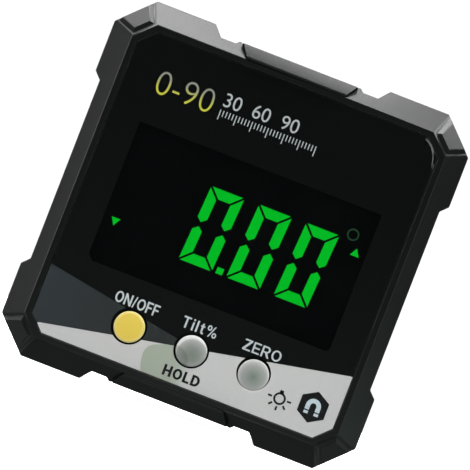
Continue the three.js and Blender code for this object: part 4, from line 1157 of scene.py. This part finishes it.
def silicone(name, centre, radius, stops, painted_light_shift, translucence, roughness, shade):
    """Silicone rubber, whose colour changes from the middle of the cap to a paler rim, a painted highlight.
    """
    material, tree, place = start_material(name)
    x, z = centre
    flat = add_node(tree, "ShaderNodeVectorMath", {"operation": "MULTIPLY"}, {
        0: place, 1: (1, 0, 1),
    }).outputs["Vector"]
    away = add_node(tree, "ShaderNodeVectorMath", {"operation": "DISTANCE"}, {
        0: flat, 1: ((x + painted_light_shift[0]) * MM, 0, (z + painted_light_shift[1]) * MM),
    }).outputs["Value"]
    share = add_node(tree, "ShaderNodeMapRange", inputs={"Value": away, "From Max": radius * MM})
    colour = add_node(tree, "ShaderNodeValToRGB", inputs={"Fac": share.outputs["Result"]}, stops=stops)
    colour = colour.outputs["Color"]
    if shade:
        (mid_x, mid_z, reach), dark, depth = shade
        off = add_node(tree, "ShaderNodeVectorMath", {"operation": "DISTANCE"}, {
            0: flat, 1: (mid_x * MM, 0, mid_z * MM),
        }).outputs["Value"]
        under = add_node(tree, "ShaderNodeMapRange", inputs={
            "Value": off, "From Min": (reach - SHADE_BLUR) * MM, "From Max": (reach + SHADE_BLUR) * MM,
            "To Min": depth, "To Max": 0.0,
        }).outputs["Result"]
        colour = add_node(tree, "ShaderNodeMix", {"data_type": "RGBA"}, {
            "Factor": under, 6: colour, 7: linear(dark),
        }).outputs[2]
    grain = add_node(tree, "ShaderNodeTexNoise", inputs={
        "Vector": place, "Scale": per_metre(SILICONE_GRAIN_MM), "Detail": 2.0,
    }).outputs["Fac"]
    bump = add_node(tree, "ShaderNodeBump", inputs={
        "Height": grain, "Distance": SILICONE_DEPTH_MM * MM, "Strength": 0.5,
    })
    dull = add_node(tree, "ShaderNodeMapRange", inputs={
        "Value": grain, "To Min": roughness - 0.05, "To Max": roughness + 0.05,
    })
    return finish_material(material, {
        "Base Color": colour, "Normal": bump.outputs["Normal"], "IOR": 1.41,
        "Roughness": dull.outputs["Result"], "Subsurface Weight": translucence,
        "Subsurface Radius": (1.0, 1.0, 1.0), "Subsurface Scale": SCATTER_MM * MM,
    })


def set_cap(key, stops, painted_light_shift, translucence, roughness, dome_height, shade=None):
    """Turns the cap of one key, in the place of its solid."""
    low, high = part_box(f"{key}_button")
    centre = key_centre(key)
    radius = (high.x - low.x) / 2 / MM - FLANGE_REACH
    material = silicone(f"{key}_silicone", centre, radius, stops, painted_light_shift, translucence, roughness, shade)
    profile = cap_profile(radius - CAP_GAP, (high.y - low.y) / MM, dome_height, low.y / MM)
    mesh = turned_mesh(f"{key}_cap", profile, *centre, CAP_SIDES)
    mesh.polygons.foreach_set("use_smooth", [True] * len(mesh.polygons))
    piece = add_piece(f"{key}_cap", mesh, material, f"{key}_key")
    piece.visible_shadow = False
    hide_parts(f"{key}_button")
    print(key, "cap at", [round(v, 2) for v in centre], "radius", round(radius, 2), "mm")


# The paler last stops towards the rim are a painted highlight on the rounded shoulder.
YELLOW_WITH_RIM_HIGHLIGHT_STOPS = [(0.0, "#dec453"), (0.78, "#dec456"), (0.9, "#e2cf78"), (1.0, "#e0d28c")]
GREY_WITH_RIM_HIGHLIGHT_STOPS = [(0.0, "#7a847c"), (0.45, "#858b85"), (0.8, "#9c9e9b"), (0.93, "#aaaca9"), (1.0, "#d2d4d1")]
PALE_WITH_RIM_HIGHLIGHT_STOPS = [(0.0, "#718278"), (0.3, "#868e87"), (0.75, "#9da09d"), (1.0, "#babbb9")]
PRINT_UNDER_KEY = (PATCH_RIGHT_ROUND, "#566058", 0.40)
# Painted light: the pair after the stops moves the ramp's middle down, so the caps' upper side comes out
# paler.
set_cap("power", YELLOW_WITH_RIM_HIGHLIGHT_STOPS, (0, 0), 0.0, 0.45, 0.06)
set_cap("units", GREY_WITH_RIM_HIGHLIGHT_STOPS, (0.25, -0.45), 0.15, 0.40, 0.16, PRINT_UNDER_KEY)
set_cap("zero", PALE_WITH_RIM_HIGHLIGHT_STOPS, (0.05, -0.25), 0.15, 0.40, 0.16)

# %% [markdown]
# ## Metals, rubbers and the rest of the inside
# What is shut inside is seen only when the battery door lifts off, or when the part is taken apart, but
# each piece still gets the finish of its own material. They fall into families: plated metals with a
# fine brushed or tumbled grain, dull rubbers and foams, and plain moulded plastics.

# %% Plated metal
PLATING_DEPTH_MM = 0.004


def plated(name, dark, pale, roughness, grain_mm, stretch=(1, 1, 1)):
    """Plated metal: full metallic colour, with a grain that stretches the way it was worked."""
    stops, dull = [(0.25, dark), (0.75, pale)], (roughness - 0.08, roughness + 0.08)
    return grained(name, grain_mm, 3.0, stops, dull, {"Metallic": 1.0}, (PLATING_DEPTH_MM, 0.4), stretch)


zinc = plated("bright_zinc_plate", "#9da1a5", "#c3c6c9", 0.32, 0.5)
nickel = plated("nickel_plate", "#b5b2aa", "#d2cfc7", 0.22, 0.8)
spring_nickel = plated("nickel_plated_spring_steel", "#a9a7a1", "#cbc9c3", 0.28, 0.3, (1, 1, 12))
tin = plated("tinned_steel", "#a4a6a8", "#c4c6c8", 0.34, 0.6, (10, 1, 1))
METAL_PIECES = {
    "_screw_": (zinc, 0.05), "_magnet_": (nickel, 0.12), "_contact": (spring_nickel, 0.03),
    "_switch": (tin, 0.08), "crystal": (nickel, 0.15),
}
for part, (metal, radius_mm) in METAL_PIECES.items():
    for name in nodes:
        if part in name:
            finish_node(name, metal, radius_mm)
print("metals:", [m.name for m in (zinc, nickel, spring_nickel, tin)])

# %% [markdown]
# Rubber and foam scatter light evenly, so they are rough and show their cells or their moulding grain.
# Moulded plastics are smoother, and the clear one of the light guide lets light through.

# %% Rubber, foam and plain plastics
def moulded(name, dark, pale, roughness, grain_mm, depth_mm=0.006, ior=1.5, clear=0.0):
    """A plainly coloured polymer with a grain of its own size and depth."""
    stops, dull = [(0.3, dark), (0.7, pale)], (roughness - 0.06, roughness + 0.06)
    others = {"IOR": ior, "Transmission Weight": clear}
    return grained(name, grain_mm, 2.0, stops, dull, others, (depth_mm, 0.6))


POLYMERS = {
    "black_epdm_rubber": (("housing_seal", "door_seal"), "#121212", "#1b1b1b", 0.8, 0.4, 0.01),
    "black_pe_foam": (("window_tape",), "#1d1d1d", "#303030", 0.9, 0.25, 0.03),
    "white_moulded_polycarbonate": (("lcd_frame",), "#dcdcd8", "#e8e8e4", 0.45, 0.5),
    "carbon_striped_silicone": (("lcd_connector",), "#3c3e41", "#66696c", 0.7, 0.2),
    "yellow_led_resin": (("backlight_led_1", "backlight_led_2"), "#e6dca0", "#f2ecc8", 0.3, 0.4),
    "moulded_epoxy": (("controller_chip", "tilt_sensor"), "#151516", "#212123", 0.6, 0.12, 0.01),
    "black_acetal": (("power_plunger", "units_plunger", "zero_plunger"), "#1a1a1b", "#232324", 0.4, 0.5),
}
for name, (members, *recipe) in POLYMERS.items():
    polymer = moulded(name, *recipe)
    for member in members:
        finish_node(member, polymer, 0.05)
guide_acrylic = moulded("dotted_clear_acrylic", "#f2f5f2", "#fafcfa", 0.12, 0.7, 0.02, 1.49, 0.9)
finish_node("light_guide", guide_acrylic, 0.04)
print("polymers:", list(POLYMERS))

# %% [markdown]
# A circuit board is glass cloth in epoxy under a green solder mask. The copper tracks show through the
# mask as slightly paler lines, here on a 2.5 mm pitch, shifted and broken up by a coarse cell pattern.

# %% Circuit board
TRACK_PITCH_MM, TRACK_WIDTH_SHARE, TRACK_WANDER_MM = 2.5, 0.16, 7
board_mask, tree, place = start_material("green_solder_mask_over_copper")
wander = add_node(tree, "ShaderNodeTexVoronoi", {"feature": "F1", "distance": "CHEBYCHEV"}, {
    "Vector": place, "Scale": per_metre(TRACK_WANDER_MM),
}).outputs["Position"]
bent = add_node(tree, "ShaderNodeVectorMath", {"operation": "MULTIPLY_ADD"}, {
    0: wander, 1: (0.8, 0.8, 0.8), 2: place,
}).outputs["Vector"]
lines = add_node(tree, "ShaderNodeTexBrick", inputs={
    "Vector": bent, "Scale": per_metre(TRACK_PITCH_MM) / 4, "Mortar Size": TRACK_WIDTH_SHARE / 4,
    "Mortar Smooth": 0.2, "Color1": linear("#114a2a"), "Color2": linear("#0f4426"),
    "Mortar": linear("#2c7a45"),
})
finish_material(board_mask, {
    "Base Color": lines.outputs["Color"], "Roughness": 0.28, "IOR": 1.55,
    "Coat Weight": 0.4, "Coat Roughness": 0.15,
})
finish_node("circuit_board", board_mask, 0.04)
print("track pitch:", TRACK_PITCH_MM, "mm")

# %% [markdown]
# The two cells are steel cans in a shrunk plastic jacket: blue over most of the length with a silver
# band near both ends, and bare metal at the very ends. One material serves both, because it goes by
# the distance from the middle of the bay, and the jacket's place is a mask that also drives the metal.

# %% Cells
BARE_END, BAND_START = 1.3 * MM, 0.72
cell_low, cell_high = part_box("battery_1")
jacket_end = (cell_high.x - cell_low.x) / 2 - BARE_END
cell_jacket, tree, place = start_material("shrunk_blue_jacket_on_steel")
along = add_node(tree, "ShaderNodeSeparateXYZ", inputs={0: place}).outputs["X"]
far = add_node(tree, "ShaderNodeMath", {"operation": "ABSOLUTE"}, {0: along}).outputs[0]
bare, band = (
    add_node(tree, "ShaderNodeMath", {"operation": "GREATER_THAN"}, {0: far, 1: limit}).outputs[0]
    for limit in (jacket_end, jacket_end * BAND_START)
)
colour = linear("#23508c")
for mask, covering in ((band, "#b9bdc2"), (bare, "#c9cacb")):
    colour = add_node(tree, "ShaderNodeMix", {"data_type": "RGBA"}, {
        "Factor": mask, 6: colour, 7: linear(covering),
    }).outputs[2]
dull = add_node(tree, "ShaderNodeMapRange", inputs={"Value": band, "To Min": 0.3, "To Max": 0.24})
finish_material(cell_jacket, {
    "Base Color": colour, "Metallic": bare, "Roughness": dull.outputs["Result"],
})
for name in ("battery_1", "battery_2"):
    finish_node(name, cell_jacket, 0.0)
print("jacket ends", round(jacket_end / MM, 1), "mm from the middle")

# %% Sizes
print("cad box:", [[round(v / MM, 2) for v in corner] for corner in cad_box])
